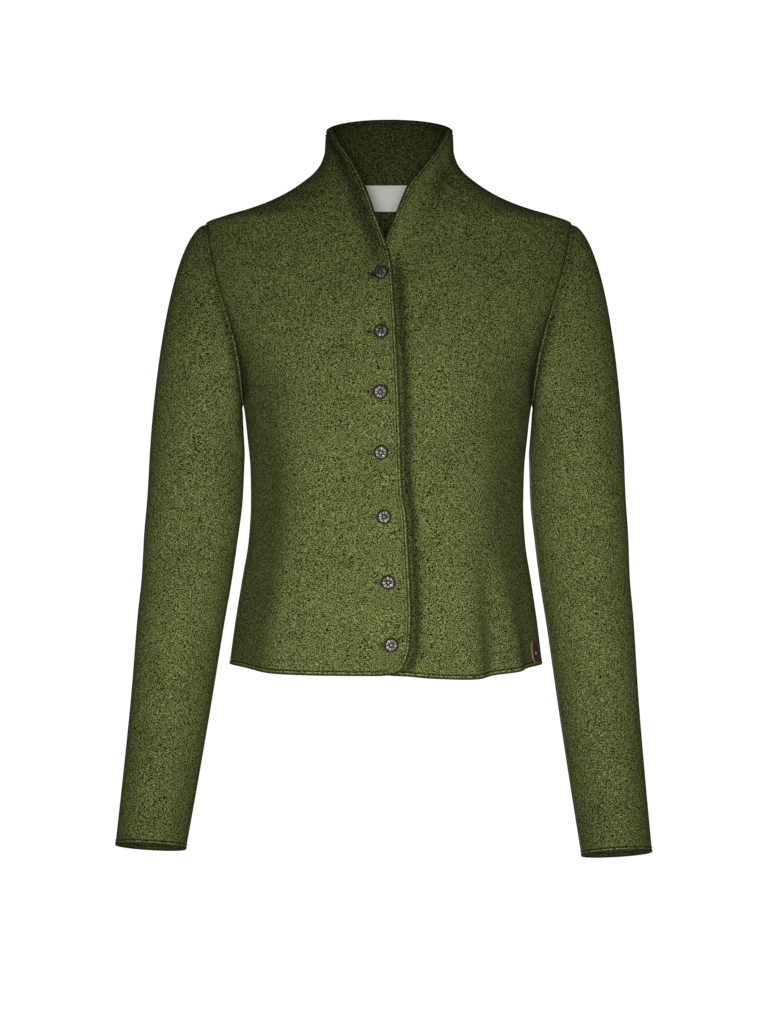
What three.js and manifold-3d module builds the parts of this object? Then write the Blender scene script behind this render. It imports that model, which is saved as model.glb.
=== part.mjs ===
// A women's buttoned cardigan-jacket in felted knit, filled out as when worn and hollow inside.
// Millimetres, +Z up, the front faces -Y. The origin lies inside the base of the neck, where a wearer's
// shoulders hold the garment up. Front and back share one family of level sections, from hem to collar.
import * as THREE from 'three';
import { mergeVertices } from 'three/addons/utils/BufferGeometryUtils.js';
import Module from 'manifold-3d';

// ---------------------------------------------------------------- driving sizes
const WALL = 2.2; // felted knit
const GAP = 0.3; // between pieces that touch
const ARMHOLE_GAP = 0.5; // across the sleeve seam, which is aslant to its gap
const BAND_WIDTH = 4; // binding along the edges
const BAND_THICK = 2.8;
const HEM_Z = -510;
const HEM_CLIMB = 6;
const HEM_DIP = { turn: 27, spread: 22, depth: 4.4, ease: 14 }; // degrees round the left front, and how far
const ARMPIT_Z = -238;
const SHOULDER_Z = -50; // outer end of the shoulder seam
const NECK_Z = 2; // back neck seam
const COLLAR_SIDE_Z = 46.5; // top edge of the collar at the side of the neck
const COLLAR_BACK_RISE = 18.5; // how much higher the top edge is at the centre back
const COLLAR_TOP_CURVE = 0.95; // below 1 the rise starts sooner from the side
const LAP_STEP = WALL + 0.9; // how far the left front lies below the right one
const LAP_FADE = { from: -32, run: 30 }; // the step grows down the V, before the edges cross
const LAP_INNER = 34; // the step is full up to here, measured across from the centre
const LAP_OUTER = 66; // and gone from here
const BUTTON_RADIUS = 7.5;
const BUTTON_DOME = 3.6;
const BUTTON_LIFT = 0.8; // the flat back of a button over the cloth's crown
const BUTTONHOLE = { length: 16, width: 2.6, lead: 4.5 };
const LEAN = { at: 2.1, perMm: 0.0079 }; // the garment hangs a touch out of plumb

// Level sections. half: half the width; fore and aft: depth at the centre front and the centre back;
// square: 2 is an ellipse, more is boxier. Between the armpit and the shoulder half runs on under the sleeve.
const SECTIONS = [
  { z: -512, half: 165, fore: 112, aft: 109, square: 2.3 },
  { z: -458, half: 158, fore: 111, aft: 103, square: 2.3 },
  { z: -417, half: 151.5, fore: 110, aft: 94, square: 2.25 },
  { z: -376, half: 145, fore: 109, aft: 84.5, square: 2.2 },
  { z: -340, half: 143, fore: 108, aft: 79, square: 2.2 },
  { z: -304, half: 143.5, fore: 109, aft: 81, square: 2.2 },
  { z: -270, half: 146, fore: 111, aft: 88, square: 2.25 },
  { z: -238, half: 149, fore: 114, aft: 96, square: 2.3 },
  { z: -220, half: 156, fore: 115, aft: 101, square: 2.3 },
  { z: -199, half: 164, fore: 114.5, aft: 105, square: 2.3 },
  { z: -173, half: 174, fore: 111, aft: 108.5, square: 2.3 },
  { z: -144, half: 184, fore: 104.5, aft: 110, square: 2.3 },
  { z: -115, half: 192, fore: 95.5, aft: 107, square: 2.3 },
  { z: -88, half: 197, fore: 86, aft: 101, square: 2.25 },
  { z: -68, half: 196, fore: 78, aft: 94, square: 2.2 },
  { z: -50, half: 188, fore: 73, aft: 87, square: 2.15 },
  { z: -43, half: 170, fore: 71, aft: 84, square: 2.15 },
  { z: -36, half: 146, fore: 69, aft: 80, square: 2.1 },
  { z: -28, half: 124, fore: 67, aft: 76, square: 2.1 },
  { z: -18, half: 104, fore: 64.5, aft: 71, square: 2.1 },
  { z: -8, half: 89, fore: 62, aft: 67.5, square: 2.1 },
  { z: 2, half: 77, fore: 60, aft: 65, square: 2.1 },
  { z: 12, half: 70, fore: 58, aft: 63, square: 2.1 },
  { z: 24, half: 66.5, fore: 56, aft: 61, square: 2.1 },
  { z: 36, half: 66, fore: 54, aft: 60, square: 2.1 },
  { z: 46, half: 64.5, fore: 52, aft: 60, square: 2.1 },
  { z: 66, half: 61, fore: 50, aft: 60.5, square: 2.1 },
];

// Where the armhole cuts the front and the back: distance from the centre, from the armpit to the shoulder.
const ARMHOLE = [
  { z: -238, fore: 149, aft: 149 },
  { z: -220, fore: 150.5, aft: 153.5 },
  { z: -199, fore: 153.5, aft: 158 },
  { z: -173, fore: 158.5, aft: 164 },
  { z: -144, fore: 166, aft: 171 },
  { z: -115, fore: 174.5, aft: 178 },
  { z: -88, fore: 181.5, aft: 184 },
  { z: -68, fore: 185.5, aft: 187 },
  { z: -50, fore: 188, aft: 188 },
];

// Front edges: distance past the centre line at each height, positive over the other front.
const RIGHT_EDGE = [
  { z: -512, over: 8 },
  { z: -508, over: 13 },
  { z: -500, over: 19.5 },
  { z: -482, over: 25 },
  { z: -455, over: 26.5 },
  { z: -395, over: 23.5 },
  { z: -349, over: 20.5 },
  { z: -327, over: 16.5 },
  { z: -256, over: 13.5 },
  { z: -177, over: 9.5 },
  { z: -117, over: 5.5 },
  { z: -95, over: 3 },
  { z: -75, over: -2.5 },
  { z: -47, over: -13 },
  { z: -17, over: -24 },
  { z: 11, over: -38 },
  { z: 34, over: -53 },
  { z: 46, over: -59 },
];
const LEFT_EDGE = [
  { z: -512, over: 6 },
  { z: -500, over: 16 },
  { z: -482, over: 20 },
  { z: -256, over: 20 },
  { z: -140, over: 17 },
  { z: -95, over: 10 },
  { z: -73, over: 4 },
  { z: -62, over: 0 },
  { z: -40, over: -9 },
  { z: -14, over: -20 },
  { z: -2, over: -29.5 },
  { z: 19, over: -45 },
  { z: 34, over: -54 },
  { z: 46, over: -59 },
];

// Sleeve rings below the armhole, for the left arm; inner and outer: distance from the centre of the body;
// fore: how far the middle lies behind the body's; deep: half the depth.
const SLEEVE = [
  { z: -290, inner: 146.5, outer: 244.5, fore: 4, deep: 57 },
  { z: -335, inner: 148.5, outer: 247, fore: 8, deep: 56 },
  { z: -376, inner: 153.5, outer: 250, fore: 8, deep: 54.5 },
  { z: -417, inner: 159, outer: 251.5, fore: 4, deep: 53 },
  { z: -458, inner: 165.5, outer: 255, fore: -2, deep: 51 },
  { z: -541, inner: 177.5, outer: 260, fore: -15, deep: 47.5 },
  { z: -623, inner: 190, outer: 266.5, fore: -29, deep: 44 },
  { z: -692, inner: 201, outer: 272.5, fore: -42, deep: 41 },
];
const SLEEVE_TOP_Z = -290; // below it rings follow the table, above it they swing into the armhole
const CUFF_Z = { right: -688, left: -695 }; // middle of the cuff edge; the left sleeve hangs lower
const HEAD_PULL = 0.52; // fullness of the sleeve head
const RING_TILT = { forward: 0.19, outward: 0.055 }; // rise of the cuff's plane to the front and the outside

// Soft folds. side: which half; turn: degrees round from the centre front; depth is out (+) or in (-).
const FOLDS = [
  { side: 1, turn: 19, spread: 6, from: -375, to: -530, depth: -4.5 },
  { side: 1, turn: 29, spread: 7, from: -380, to: -530, depth: 5 },
  { side: 1, turn: 42, spread: 8, from: -330, to: -500, depth: -10.5 },
  { side: 1, turn: 55, spread: 14, from: -120, to: -250, depth: -5 },
  { side: 1, turn: 71, spread: 17, from: -200, to: -330, depth: -8.5 },
  { side: 1, turn: 56, spread: 8, from: -400, to: -530, depth: 6.5 },
  { side: -1, turn: 40, spread: 7, from: -240, to: -400, depth: 1.5 },
  { side: -1, turn: 57, spread: 14, from: -110, to: -230, depth: -6 },
  { side: -1, turn: 73, spread: 18, from: -200, to: -330, depth: -11 },
  { side: 1, turn: 150, spread: 10, from: -330, to: -530, depth: -5 },
  { side: -1, turn: 146, spread: 10, from: -340, to: -530, depth: -5 },
  { side: 1, turn: 166, spread: 9, from: -380, to: -530, depth: 4 },
  { side: -1, turn: 168, spread: 9, from: -360, to: -530, depth: 3 },
];
const BUST = { across: 76, z: -214, reach: 52, full: 7 };
const SHOULDER_BLADE = { across: 80, z: -135, reach: 70, full: 4 };
const ELBOW_CREASES = [
  { z: -352, depth: 2.6, spread: 11 },
  { z: -381, depth: 3.4, spread: 12 },
  { z: -412, depth: 2.4, spread: 11 },
];

const BUTTONS = [
  { z: -109, x: -6 },
  { z: -168, x: -6 },
  { z: -228, x: -7 },
  { z: -288, x: -6 },
  { z: -352, x: -3 },
  { z: -417, x: 1 },
  { z: -479, x: 4 },
];
const NECK_LABEL = { width: 52, top: -3, height: 25.5, thick: 0.8, clear: 0.9 };
const SIDE_TAB = { turn: 78.5, halfTurn: 3.9, top: -478, bottom: -501.5, thick: 1.4 };
const RIVET = { z: -491, radius: 2, height: 1.2 };

const COLOURS = {
  felt: 0x4a5528,
  band: 0x3f4a22,
  metal: 0x8b8078,
  label: 0xcfcac2,
  leather: 0x6b4425,
};

// ---------------------------------------------------------------- small helpers
const lerp = (a, b, t) => a + (b - a) * t;
const clamp01 = (t) => Math.min(1, Math.max(0, t));
const smooth = (t) => clamp01(t) ** 2 * (3 - 2 * clamp01(t));
const bell = (d) => Math.exp(-d * d);
const rad = THREE.MathUtils.degToRad;
const vec = (x, y, z) => new THREE.Vector3(x, y, z);

// Reads a column of a table at height z on a smooth curve that never overshoots.
function read(table, column, z) {
  const rows = table[0].z < table[1].z ? table : [...table].reverse();
  const last = rows.length - 1;
  if (z <= rows[0].z) return rows[0][column];
  if (z >= rows[last].z) return rows[last][column];
  const i = rows.findIndex((row) => row.z > z) - 1;
  const slope = (k) => (rows[k + 1][column] - rows[k][column]) / (rows[k + 1].z - rows[k].z);
  const bend = (k) => {
    if (k === 0) return slope(0);
    if (k === last) return slope(last - 1);
    const [before, after] = [slope(k - 1), slope(k)];
    return before * after <= 0 ? 0 : (2 * before * after) / (before + after);
  };
  const span = rows[i + 1].z - rows[i].z;
  const t = (z - rows[i].z) / span;
  return (
    rows[i][column] * (2 * t ** 3 - 3 * t ** 2 + 1) +
    bend(i) * span * (t ** 3 - 2 * t ** 2 + t) +
    rows[i + 1][column] * (3 * t ** 2 - 2 * t ** 3) +
    bend(i + 1) * span * (t ** 3 - t ** 2)
  );
}

// ---------------------------------------------------------------- the body's surface
const leanAt = (z) => LEAN.at + LEAN.perMm * z;

function foldAt(angle, z) {
  let out = 0;
  const turn = THREE.MathUtils.radToDeg(Math.abs(angle));
  for (const fold of FOLDS.filter((f) => f.side === Math.sign(angle))) {
    const grow = smooth((fold.from - z) / (fold.from - fold.to));
    out += fold.depth * grow * bell((turn - fold.turn) / fold.spread);
  }
  return out;
}

// Outer surface of the garment's body: angle 0 is the centre front, +90 degrees the left side, 180 the back.
function bodyPoint(angle, z) {
  const turn = Math.abs(angle);
  const isFront = turn <= Math.PI / 2;
  const power = 2 / read(SECTIONS, 'square', z);
  const x = Math.sign(angle) * read(SECTIONS, 'half', z) * Math.abs(Math.sin(angle)) ** power;
  const depth = read(SECTIONS, isFront ? 'fore' : 'aft', z);
  let y = depth * Math.abs(Math.cos(angle)) ** power;
  const form = isFront ? BUST : SHOULDER_BLADE;
  const off = Math.hypot(Math.abs(x) - form.across, z - form.z) / form.reach;
  y += form.full * bell(off) * Math.abs(Math.cos(angle)) + foldAt(angle, z) * Math.abs(Math.cos(angle));
  const side = foldAt(angle, z) * Math.sin(angle);
  return vec(x + side + leanAt(z), isFront ? -y : y, z);
}

// The angle whose point lies a given distance from the centre.
function angleFor(across, z, isBack = false) {
  const share = Math.min(1, Math.abs(across) / read(SECTIONS, 'half', z));
  const turn = Math.asin(share ** (read(SECTIONS, 'square', z) / 2));
  return Math.sign(across) * (isBack ? Math.PI - turn : turn);
}

function normalOf(surface, u, v, du, dv) {
  const alongU = surface(u + du, v).sub(surface(u, v)).multiplyScalar(Math.sign(du));
  const alongV = surface(u, v + dv).sub(surface(u, v)).multiplyScalar(Math.sign(dv));
  return alongU.cross(alongV).normalize();
}

// Outward normal of the body; the step stays on the front's or the back's own side of the seam.
function bodyNormal(angle, z) {
  const step = 0.02 * Math.sign(angle || 1);
  const beyond = Math.abs(angle + step);
  const crossesSeam = Math.abs(angle) <= Math.PI / 2 && beyond > Math.PI / 2;
  return normalOf(bodyPoint, angle, z, crossesSeam || beyond > Math.PI ? -step : step, 1);
}

// ---------------------------------------------------------------- turning grids into cloth
// A closed solid from two grids of points, [row][column], the outer and the inner face of a wall.
function wallGeometry(outer, inner, isTube = false) {
  const rows = outer.length;
  const columns = outer[0].length;
  const points = [...outer.flat(), ...inner.flat()];
  const index = [];
  const quad = (a, b, c, d) => index.push(a, b, c, a, c, d);
  const out = (r, c) => r * columns + (c % columns);
  const into = (r, c) => rows * columns + out(r, c);
  const lastColumn = isTube ? columns : columns - 1;
  for (let r = 0; r < rows - 1; r++) {
    for (let c = 0; c < lastColumn; c++) {
      quad(out(r, c), out(r, c + 1), out(r + 1, c + 1), out(r + 1, c));
      quad(into(r, c), into(r + 1, c), into(r + 1, c + 1), into(r, c + 1));
    }
  }
  for (let c = 0; c < lastColumn; c++) {
    quad(out(0, c), into(0, c), into(0, c + 1), out(0, c + 1));
    quad(out(rows - 1, c), out(rows - 1, c + 1), into(rows - 1, c + 1), into(rows - 1, c));
  }
  for (let r = 0; r < rows - 1 && !isTube; r++) {
    quad(out(r, 0), out(r + 1, 0), into(r + 1, 0), into(r, 0));
    quad(out(r, columns - 1), into(r, columns - 1), into(r + 1, columns - 1), out(r + 1, columns - 1));
  }
  return outwards(toGeometry(points, index));
}

function toGeometry(points, index) {
  const geometry = new THREE.BufferGeometry();
  geometry.setAttribute('position', new THREE.Float32BufferAttribute(points.flatMap((p) => p.toArray()), 3));
  geometry.setIndex(index);
  return geometry;
}

// Turns every face round where the solid was made inside out.
function outwards(geometry) {
  const at = geometry.attributes.position;
  const index = [...geometry.index.array];
  const corner = (i) => vec(at.getX(index[i]), at.getY(index[i]), at.getZ(index[i]));
  let volume = 0;
  for (let i = 0; i < index.length; i += 3) volume += corner(i).dot(corner(i + 1).cross(corner(i + 2)));
  if (volume < 0) {
    for (let i = 0; i < index.length; i += 3) [index[i], index[i + 1]] = [index[i + 1], index[i]];
    geometry.setIndex(index);
  }
  return geometry;
}

const garment = new THREE.Group();

function add(name, geometry, colour, finish = { roughness: 0.95, metalness: 0 }) {
  const mesh = new THREE.Mesh(geometry, new THREE.MeshStandardMaterial({ color: colour, ...finish }));
  mesh.name = name;
  garment.add(mesh);
  return mesh;
}

// ---------------------------------------------------------------- the fronts and the back
const BELOW_ARM = [-485, -460, -435, -410, -385, -360, -335, -310, -286, -262];
const SHOULDER_ROWS = [-46.5, -43, -39.5, -36, -31, -24, -16, -7, NECK_Z];
const COLLAR_ROWS = [13, 24, 35, COLLAR_SIDE_Z];
const ARM_STEPS = 10; // rows from the armpit to the shoulder, shared by body and sleeve

const ARM_HALF = (SHOULDER_Z - ARMPIT_Z) / 2;
const armholeZ = (k) => ARMPIT_Z + ARM_HALF * (1 - Math.cos((Math.PI * k) / ARM_STEPS));
const ARMHOLE_ROWS = Array.from({ length: ARM_STEPS + 1 }, (_, k) => armholeZ(k));
const EASE = { above: 26, below: 70 };
const inArmhole = (z) => z > ARMPIT_Z && z < SHOULDER_Z;

// Turn of a panel's outer boundary: side seam, armhole, shoulder seam or side of the collar.
function outerTurn(z, isBack) {
  if (!inArmhole(z)) return Math.PI / 2;
  return Math.abs(angleFor(read(ARMHOLE, isBack ? 'aft' : 'fore', z), z, isBack));
}

// Turn that the inner columns of a grid share out; it eases back to the seam past the armhole's two ends.
function columnTurn(z, isBack) {
  if (inArmhole(z)) return outerTurn(z, isBack);
  const isAbove = z >= SHOULDER_Z;
  const nearest = outerTurn(armholeZ(isAbove ? ARM_STEPS - 1 : 1), isBack);
  const away = isAbove ? (z - SHOULDER_Z) / EASE.above : (ARMPIT_Z - z) / EASE.below;
  return lerp(nearest, Math.PI / 2, smooth(away));
}

const BOTTOM_Z = HEM_Z + BAND_WIDTH + GAP;
// The hem climbs towards the side seams, and the left front's dips a little.
function hemRise(angle) {
  const turn = THREE.MathUtils.radToDeg(angle);
  const dip = HEM_DIP.depth * bell((turn - HEM_DIP.turn) / HEM_DIP.spread) * smooth(turn / HEM_DIP.ease);
  return HEM_CLIMB * Math.abs(Math.sin(angle)) ** 4 - dip;
}
const hemFade = (z) => smooth((z + 400) / (BOTTOM_Z + 400));
const panelRows = (isFront) => [
  BOTTOM_Z,
  ...BELOW_ARM,
  ...ARMHOLE_ROWS,
  ...SHOULDER_ROWS,
  ...(isFront ? COLLAR_ROWS.map((z) => (z === COLLAR_SIDE_Z ? z - BAND_WIDTH - GAP : z)) : []),
];

// How far the left front drops back under the right one.
function lapDrop(point) {
  const across = Math.abs(point.x - leanAt(point.z));
  const low = smooth((LAP_FADE.from - point.z) / LAP_FADE.run);
  return LAP_STEP * low * (1 - smooth((across - LAP_INNER) / (LAP_OUTER - LAP_INNER)));
}

// A point on a front or the back, a given depth under its outer face.
function panelPoint(piece, angle, z, under) {
  const point = bodyPoint(angle, z);
  point.addScaledVector(bodyNormal(angle, z), -under - (piece === 'left_front' ? lapDrop(point) : 0));
  const isSeam = Math.abs(Math.abs(angle) - Math.PI / 2) < 1e-6;
  if (isSeam) point.y = piece === 'back' ? GAP / 2 : -GAP / 2;
  return point;
}

// Front edge of a front: how far round it reaches past the centre, less an inset square to the edge.
function edgeAngle(side, z, inset = 0) {
  const angle = angleFor(-side * read(side < 0 ? RIGHT_EDGE : LEFT_EDGE, 'over', z), z) || 1e-6;
  if (inset === 0) return angle;
  const step = 0.01 * side;
  const round = bodyPoint(angle + step, z).sub(bodyPoint(angle, z));
  const along = bodyPoint(edgeAngle(side, z + 1), z + 1).sub(bodyPoint(edgeAngle(side, z - 1), z - 1));
  const skew = round.dot(along) / (round.length() * along.length());
  return angle + (step * inset) / (round.length() * Math.sqrt(1 - skew * skew));
}

const BAND_INSET = BAND_WIDTH + GAP;
const FRONT_COLUMNS = 11;
const CORNER_RISE = 2.8; // the cloth stops short of the binding round the bottom corner
const COLLAR_CLEAR = 0.5; // and along the collar's edge, which twists

function frontGrid(piece, under) {
  const side = piece === 'right_front' ? -1 : 1;
  return panelRows(true).map((z) => {
    const clear = COLLAR_CLEAR * smooth((z - SHOULDER_Z) / (NECK_Z - SHOULDER_Z));
    const from = edgeAngle(side, z, BAND_INSET + clear);
    return Array.from({ length: FRONT_COLUMNS + 1 }, (_, c) => {
      const turn = c === FRONT_COLUMNS ? outerTurn(z, false) : columnTurn(z, false);
      const angle = lerp(from, side * turn, c / FRONT_COLUMNS);
      const corner = c === 0 && z === BOTTOM_Z ? CORNER_RISE : 0;
      return panelPoint(piece, angle, z + hemRise(angle) * hemFade(z) + corner, under);
    });
  });
}

const BACK_COLUMNS = 18;
function backGrid(under) {
  return panelRows(false).map((z) => {
    return Array.from({ length: BACK_COLUMNS + 1 }, (_, c) => {
      const turn = c % BACK_COLUMNS === 0 ? outerTurn(z, true) : columnTurn(z, true);
      const angle = lerp(turn, 2 * Math.PI - turn, c / BACK_COLUMNS);
      const wrapped = angle > Math.PI ? angle - 2 * Math.PI : angle;
      return panelPoint('back', wrapped, z + hemRise(wrapped) * hemFade(z), under);
    });
  });
}

const COLLAR_COLUMNS = 14;
const collarTop = (angle) =>
  COLLAR_SIDE_Z + COLLAR_BACK_RISE * Math.abs(Math.cos(angle)) ** COLLAR_TOP_CURVE;

// The binding's width measured straight down where the collar's top edge climbs to the centre back.
function collarInset(angle) {
  const [a, b] = [angle - 0.05, angle + 0.05];
  const run = bodyPoint(a, COLLAR_SIDE_Z).distanceTo(bodyPoint(b, COLLAR_SIDE_Z));
  return BAND_INSET * Math.hypot(1, (collarTop(b) - collarTop(a)) / run);
}

function collarGrid(under) {
  const steps = 5;
  return Array.from({ length: steps + 1 }, (_, r) =>
    Array.from({ length: COLLAR_COLUMNS + 1 }, (_, c) => {
      const angle = lerp(Math.PI / 2, (3 * Math.PI) / 2, c / COLLAR_COLUMNS);
      const wrapped = angle > Math.PI ? angle - 2 * Math.PI : angle;
      const z = lerp(NECK_Z + GAP, collarTop(wrapped) - collarInset(wrapped), r / steps);
      return panelPoint('back', wrapped, z, under);
    }),
  );
}


// ---------------------------------------------------------------- the sleeves
const SLEEVE_COLUMNS = 2 * ARM_STEPS;
const HEAD_STEPS = 8;
const ARM_ROWS = 12;

// A point on the armhole's outer edge; column 0 is the shoulder, half way round is the armpit.
function armholePoint(side, column) {
  const isBack = column > ARM_STEPS;
  const k = isBack ? column - ARM_STEPS : ARM_STEPS - column;
  const z = armholeZ(k);
  const piece = isBack ? 'back' : side < 0 ? 'right_front' : 'left_front';
  return panelPoint(piece, side * outerTurn(z, isBack && inArmhole(z)), z, 0);
}

// Ring of the tube below the armhole; t is 0 at the top ring and 1 at the cuff.
function ringPoint(side, t, column) {
  const cuff = side < 0 ? CUFF_Z.right : CUFF_Z.left;
  const z = lerp(SLEEVE_TOP_Z, cuff, t);
  const level = lerp(SLEEVE_TOP_Z, SLEEVE[SLEEVE.length - 1].z, t);
  const turn = (2 * Math.PI * column) / SLEEVE_COLUMNS;
  const [inner, outer] = [read(SLEEVE, 'inner', level), read(SLEEVE, 'outer', level)];
  const out = Math.cos(turn);
  const front = Math.sin(turn);
  let deep = read(SLEEVE, 'deep', level);
  for (const crease of ELBOW_CREASES) {
    deep -= crease.depth * bell((level - crease.z) / crease.spread) * Math.max(0, front);
  }
  const x = (inner + outer) / 2 + ((outer - inner) / 2) * out;
  const tilt = smooth(t * 3);
  const rise = tilt * (RING_TILT.forward * deep * front + RING_TILT.outward * ((outer - inner) / 2) * out);
  return vec(side * x + leanAt(z), read(SLEEVE, 'fore', level) - deep * front, z + rise);
}

// The sleeve's outer surface; v runs from 0 at the cuff to 1 at the top ring and 2 at the armhole seam.
function sleevePoint(side, column, v) {
  if (v <= 1) return ringPoint(side, 1 - v, column);
  const t = v - 1;
  const start = ringPoint(side, 0, column);
  const end = armholePoint(side, ((Math.round(column) % SLEEVE_COLUMNS) + SLEEVE_COLUMNS) % SLEEVE_COLUMNS);
  end.x += side * ARMHOLE_GAP;
  const under = (1 - Math.cos((2 * Math.PI * column) / SLEEVE_COLUMNS)) / 2;
  const climb = rad(20 + 60 * under);
  const pull = HEAD_PULL * start.distanceTo(end);
  const leave = vec(-0.05 * side, 0, 1).multiplyScalar(pull);
  const arrive = vec(-side * Math.cos(climb), 0, Math.sin(climb)).multiplyScalar(pull);
  return start
    .multiplyScalar(2 * t ** 3 - 3 * t ** 2 + 1)
    .addScaledVector(leave, t ** 3 - 2 * t ** 2 + t)
    .addScaledVector(end, 3 * t ** 2 - 2 * t ** 3)
    .addScaledVector(arrive, t ** 3 - t ** 2);
}

const SLEEVE_ROWS = [
  ...Array.from({ length: ARM_ROWS + 1 }, (_, r) => r / ARM_ROWS),
  ...Array.from({ length: HEAD_STEPS }, (_, r) => 1 + (r + 1) / HEAD_STEPS),
];
const CUFF_START = BAND_INSET / (SLEEVE_TOP_Z - CUFF_Z.right); // where the cloth ends above its binding

// Outer and inner face of a sleeve, from the grid of outer points and their neighbours.
function sleeveGrids(side) {
  const rows = SLEEVE_ROWS.map((v) => (v === 0 ? CUFF_START : v));
  const outer = rows.map((v) => Array.from({ length: SLEEVE_COLUMNS }, (_, c) => sleevePoint(side, c, v)));
  const inner = outer.map((ring, r) =>
    ring.map((point, c) => {
      const before = ring[(c + SLEEVE_COLUMNS - 1) % SLEEVE_COLUMNS];
      const after = ring[(c + 1) % SLEEVE_COLUMNS];
      const below = outer[Math.max(0, r - 1)][c];
      const above = outer[Math.min(rows.length - 1, r + 1)][c];
      const normal = after.clone().sub(before).cross(above.clone().sub(below)).normalize();
      return point.clone().addScaledVector(normal, side * WALL);
    }),
  );
  return [outer, inner];
}


// ---------------------------------------------------------------- bindings
// Section of a binding: out is measured past the outline, lift above the cloth's outer face.
const PROUD = (BAND_THICK - WALL) / 2;
const BAND_ROUND = 0.8;
const BAND_SECTION = [
  { out: -BAND_WIDTH, lift: PROUD },
  { out: -BAND_ROUND, lift: PROUD },
  { out: 0, lift: -BAND_ROUND + PROUD },
  { out: 0, lift: BAND_ROUND - WALL - PROUD },
  { out: -BAND_ROUND, lift: -WALL - PROUD },
  { out: -BAND_WIDTH, lift: -WALL - PROUD },
];

// A closed solid swept through rings of points, which are joined end to end when it is a loop.
function sweep(rings, isLoop = false) {
  const size = rings[0].length;
  const index = [];
  const at = (r, c) => (r % rings.length) * size + (c % size);
  for (let r = 0; r < (isLoop ? rings.length : rings.length - 1); r++) {
    for (let c = 0; c < size; c++) {
      index.push(at(r, c), at(r, c + 1), at(r + 1, c + 1), at(r, c), at(r + 1, c + 1), at(r + 1, c));
    }
  }
  for (let c = 1; c < size - 1 && !isLoop; c++) {
    index.push(at(0, 0), at(0, c + 1), at(0, c));
    index.push(at(rings.length - 1, 0), at(rings.length - 1, c), at(rings.length - 1, c + 1));
  }
  return outwards(toGeometry(rings.flat(), index));
}

// Binding along a row of stations { point, normal }, mitred where the outline turns; inside is where the
// cloth lies, on the left (1) or the right (-1) of the way along it.
function binding(stations, inside, endY) {
  const across = stations.slice(1).map((next, i) => {
    const way = next.point.clone().sub(stations[i].point);
    return way.cross(next.normal).normalize().multiplyScalar(inside);
  });
  const rings = stations.map(({ point, normal }, i) => {
    const before = across[Math.max(0, i - 1)];
    const after = across[Math.min(across.length - 1, i)];
    const out = before.clone().add(after);
    out.multiplyScalar(2 / out.lengthSq());
    const ring = BAND_SECTION.map((p) =>
      point.clone().addScaledVector(out, p.out).addScaledVector(normal, p.lift));
    if (i === 0 || i === stations.length - 1) ring.forEach((p) => { p.y = endY; });
    return ring;
  });
  return sweep(rings);
}

const station = (piece, angle, z) => ({
  point: panelPoint(piece, angle, z, 0),
  normal: bodyNormal(angle, z),
});
const spread = (from, to, count) => Array.from({ length: count + 1 }, (_, i) => lerp(from, to, i / count));

const CORNER_ROWS = [-507.5, -500, -491];
const HEM_STOP = 9; // the hem's straight ends this far before the front edge, at the round corner

// Along the hem from the side seam, round the corner, up the front edge and over to the side of the collar.
function frontBinding(piece) {
  const side = piece === 'right_front' ? -1 : 1;
  const seam = (side * Math.PI) / 2;
  const hemEnd = edgeAngle(side, HEM_Z + 2, HEM_STOP);
  const hem = spread(seam, hemEnd, FRONT_COLUMNS + 2).map((a) => station(piece, a, HEM_Z + hemRise(a)));
  const rows = [...CORNER_ROWS, ...panelRows(true).slice(1, -1), COLLAR_SIDE_Z];
  const edge = rows.map((z) => station(piece, edgeAngle(side, z), z));
  const top = spread(edgeAngle(side, COLLAR_SIDE_Z), seam, 4).slice(1);
  return binding([...hem, ...edge, ...top.map((a) => station(piece, a, COLLAR_SIDE_Z))], -side, -GAP / 2);
}

function backBinding(columns, heightAt, inside) {
  const stations = spread(Math.PI / 2, (3 * Math.PI) / 2, columns).map((a) => {
    const wrapped = a > Math.PI ? a - 2 * Math.PI : a;
    return station('back', wrapped, heightAt(wrapped));
  });
  return binding(stations, inside, GAP / 2);
}

function cuffBinding(side) {
  const rings = Array.from({ length: SLEEVE_COLUMNS }, (_, c) => {
    const point = sleevePoint(side, c, 0);
    const out = point.clone().sub(sleevePoint(side, c, CUFF_START)).normalize();
    const way = sleevePoint(side, (c + 1) % SLEEVE_COLUMNS, 0).sub(
      sleevePoint(side, (c + SLEEVE_COLUMNS - 1) % SLEEVE_COLUMNS, 0));
    const normal = way.cross(out).normalize().multiplyScalar(side);
    return BAND_SECTION.map((p) => point.clone().addScaledVector(out, p.out).addScaledVector(normal, p.lift));
  });
  return sweep(rings, true);
}

// ---------------------------------------------------------------- buttons and buttonholes
const wasm = await Module();
wasm.setup();

function toSolid(geometry) {
  const bare = geometry.clone();
  bare.deleteAttribute('normal');
  bare.deleteAttribute('uv');
  const merged = mergeVertices(bare, 1e-4);
  const solid = new wasm.Mesh({
    numProp: 3,
    vertProperties: new Float32Array(merged.attributes.position.array),
    triVerts: new Uint32Array(merged.index.array),
  });
  return new wasm.Manifold(solid);
}

function fromSolid(solid) {
  const mesh = solid.getMesh();
  const geometry = new THREE.BufferGeometry();
  geometry.setAttribute('position', new THREE.BufferAttribute(new Float32Array(mesh.vertProperties), 3));
  geometry.setIndex([...mesh.triVerts]);
  return geometry;
}

// Places a form, made along +Y from the cloth's outer face, on the body at a point, its X across the garment.
function placeOnBody(geometry, angle, z, lift = 0) {
  const normal = bodyNormal(angle, z);
  const across = vec(1, 0, 0).addScaledVector(normal, -normal.x).normalize();
  const basis = new THREE.Matrix4().makeBasis(across, normal, across.clone().cross(normal));
  basis.setPosition(bodyPoint(angle, z).addScaledVector(normal, lift));
  return geometry.applyMatrix4(basis);
}

const PETALS = 8;
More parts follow.
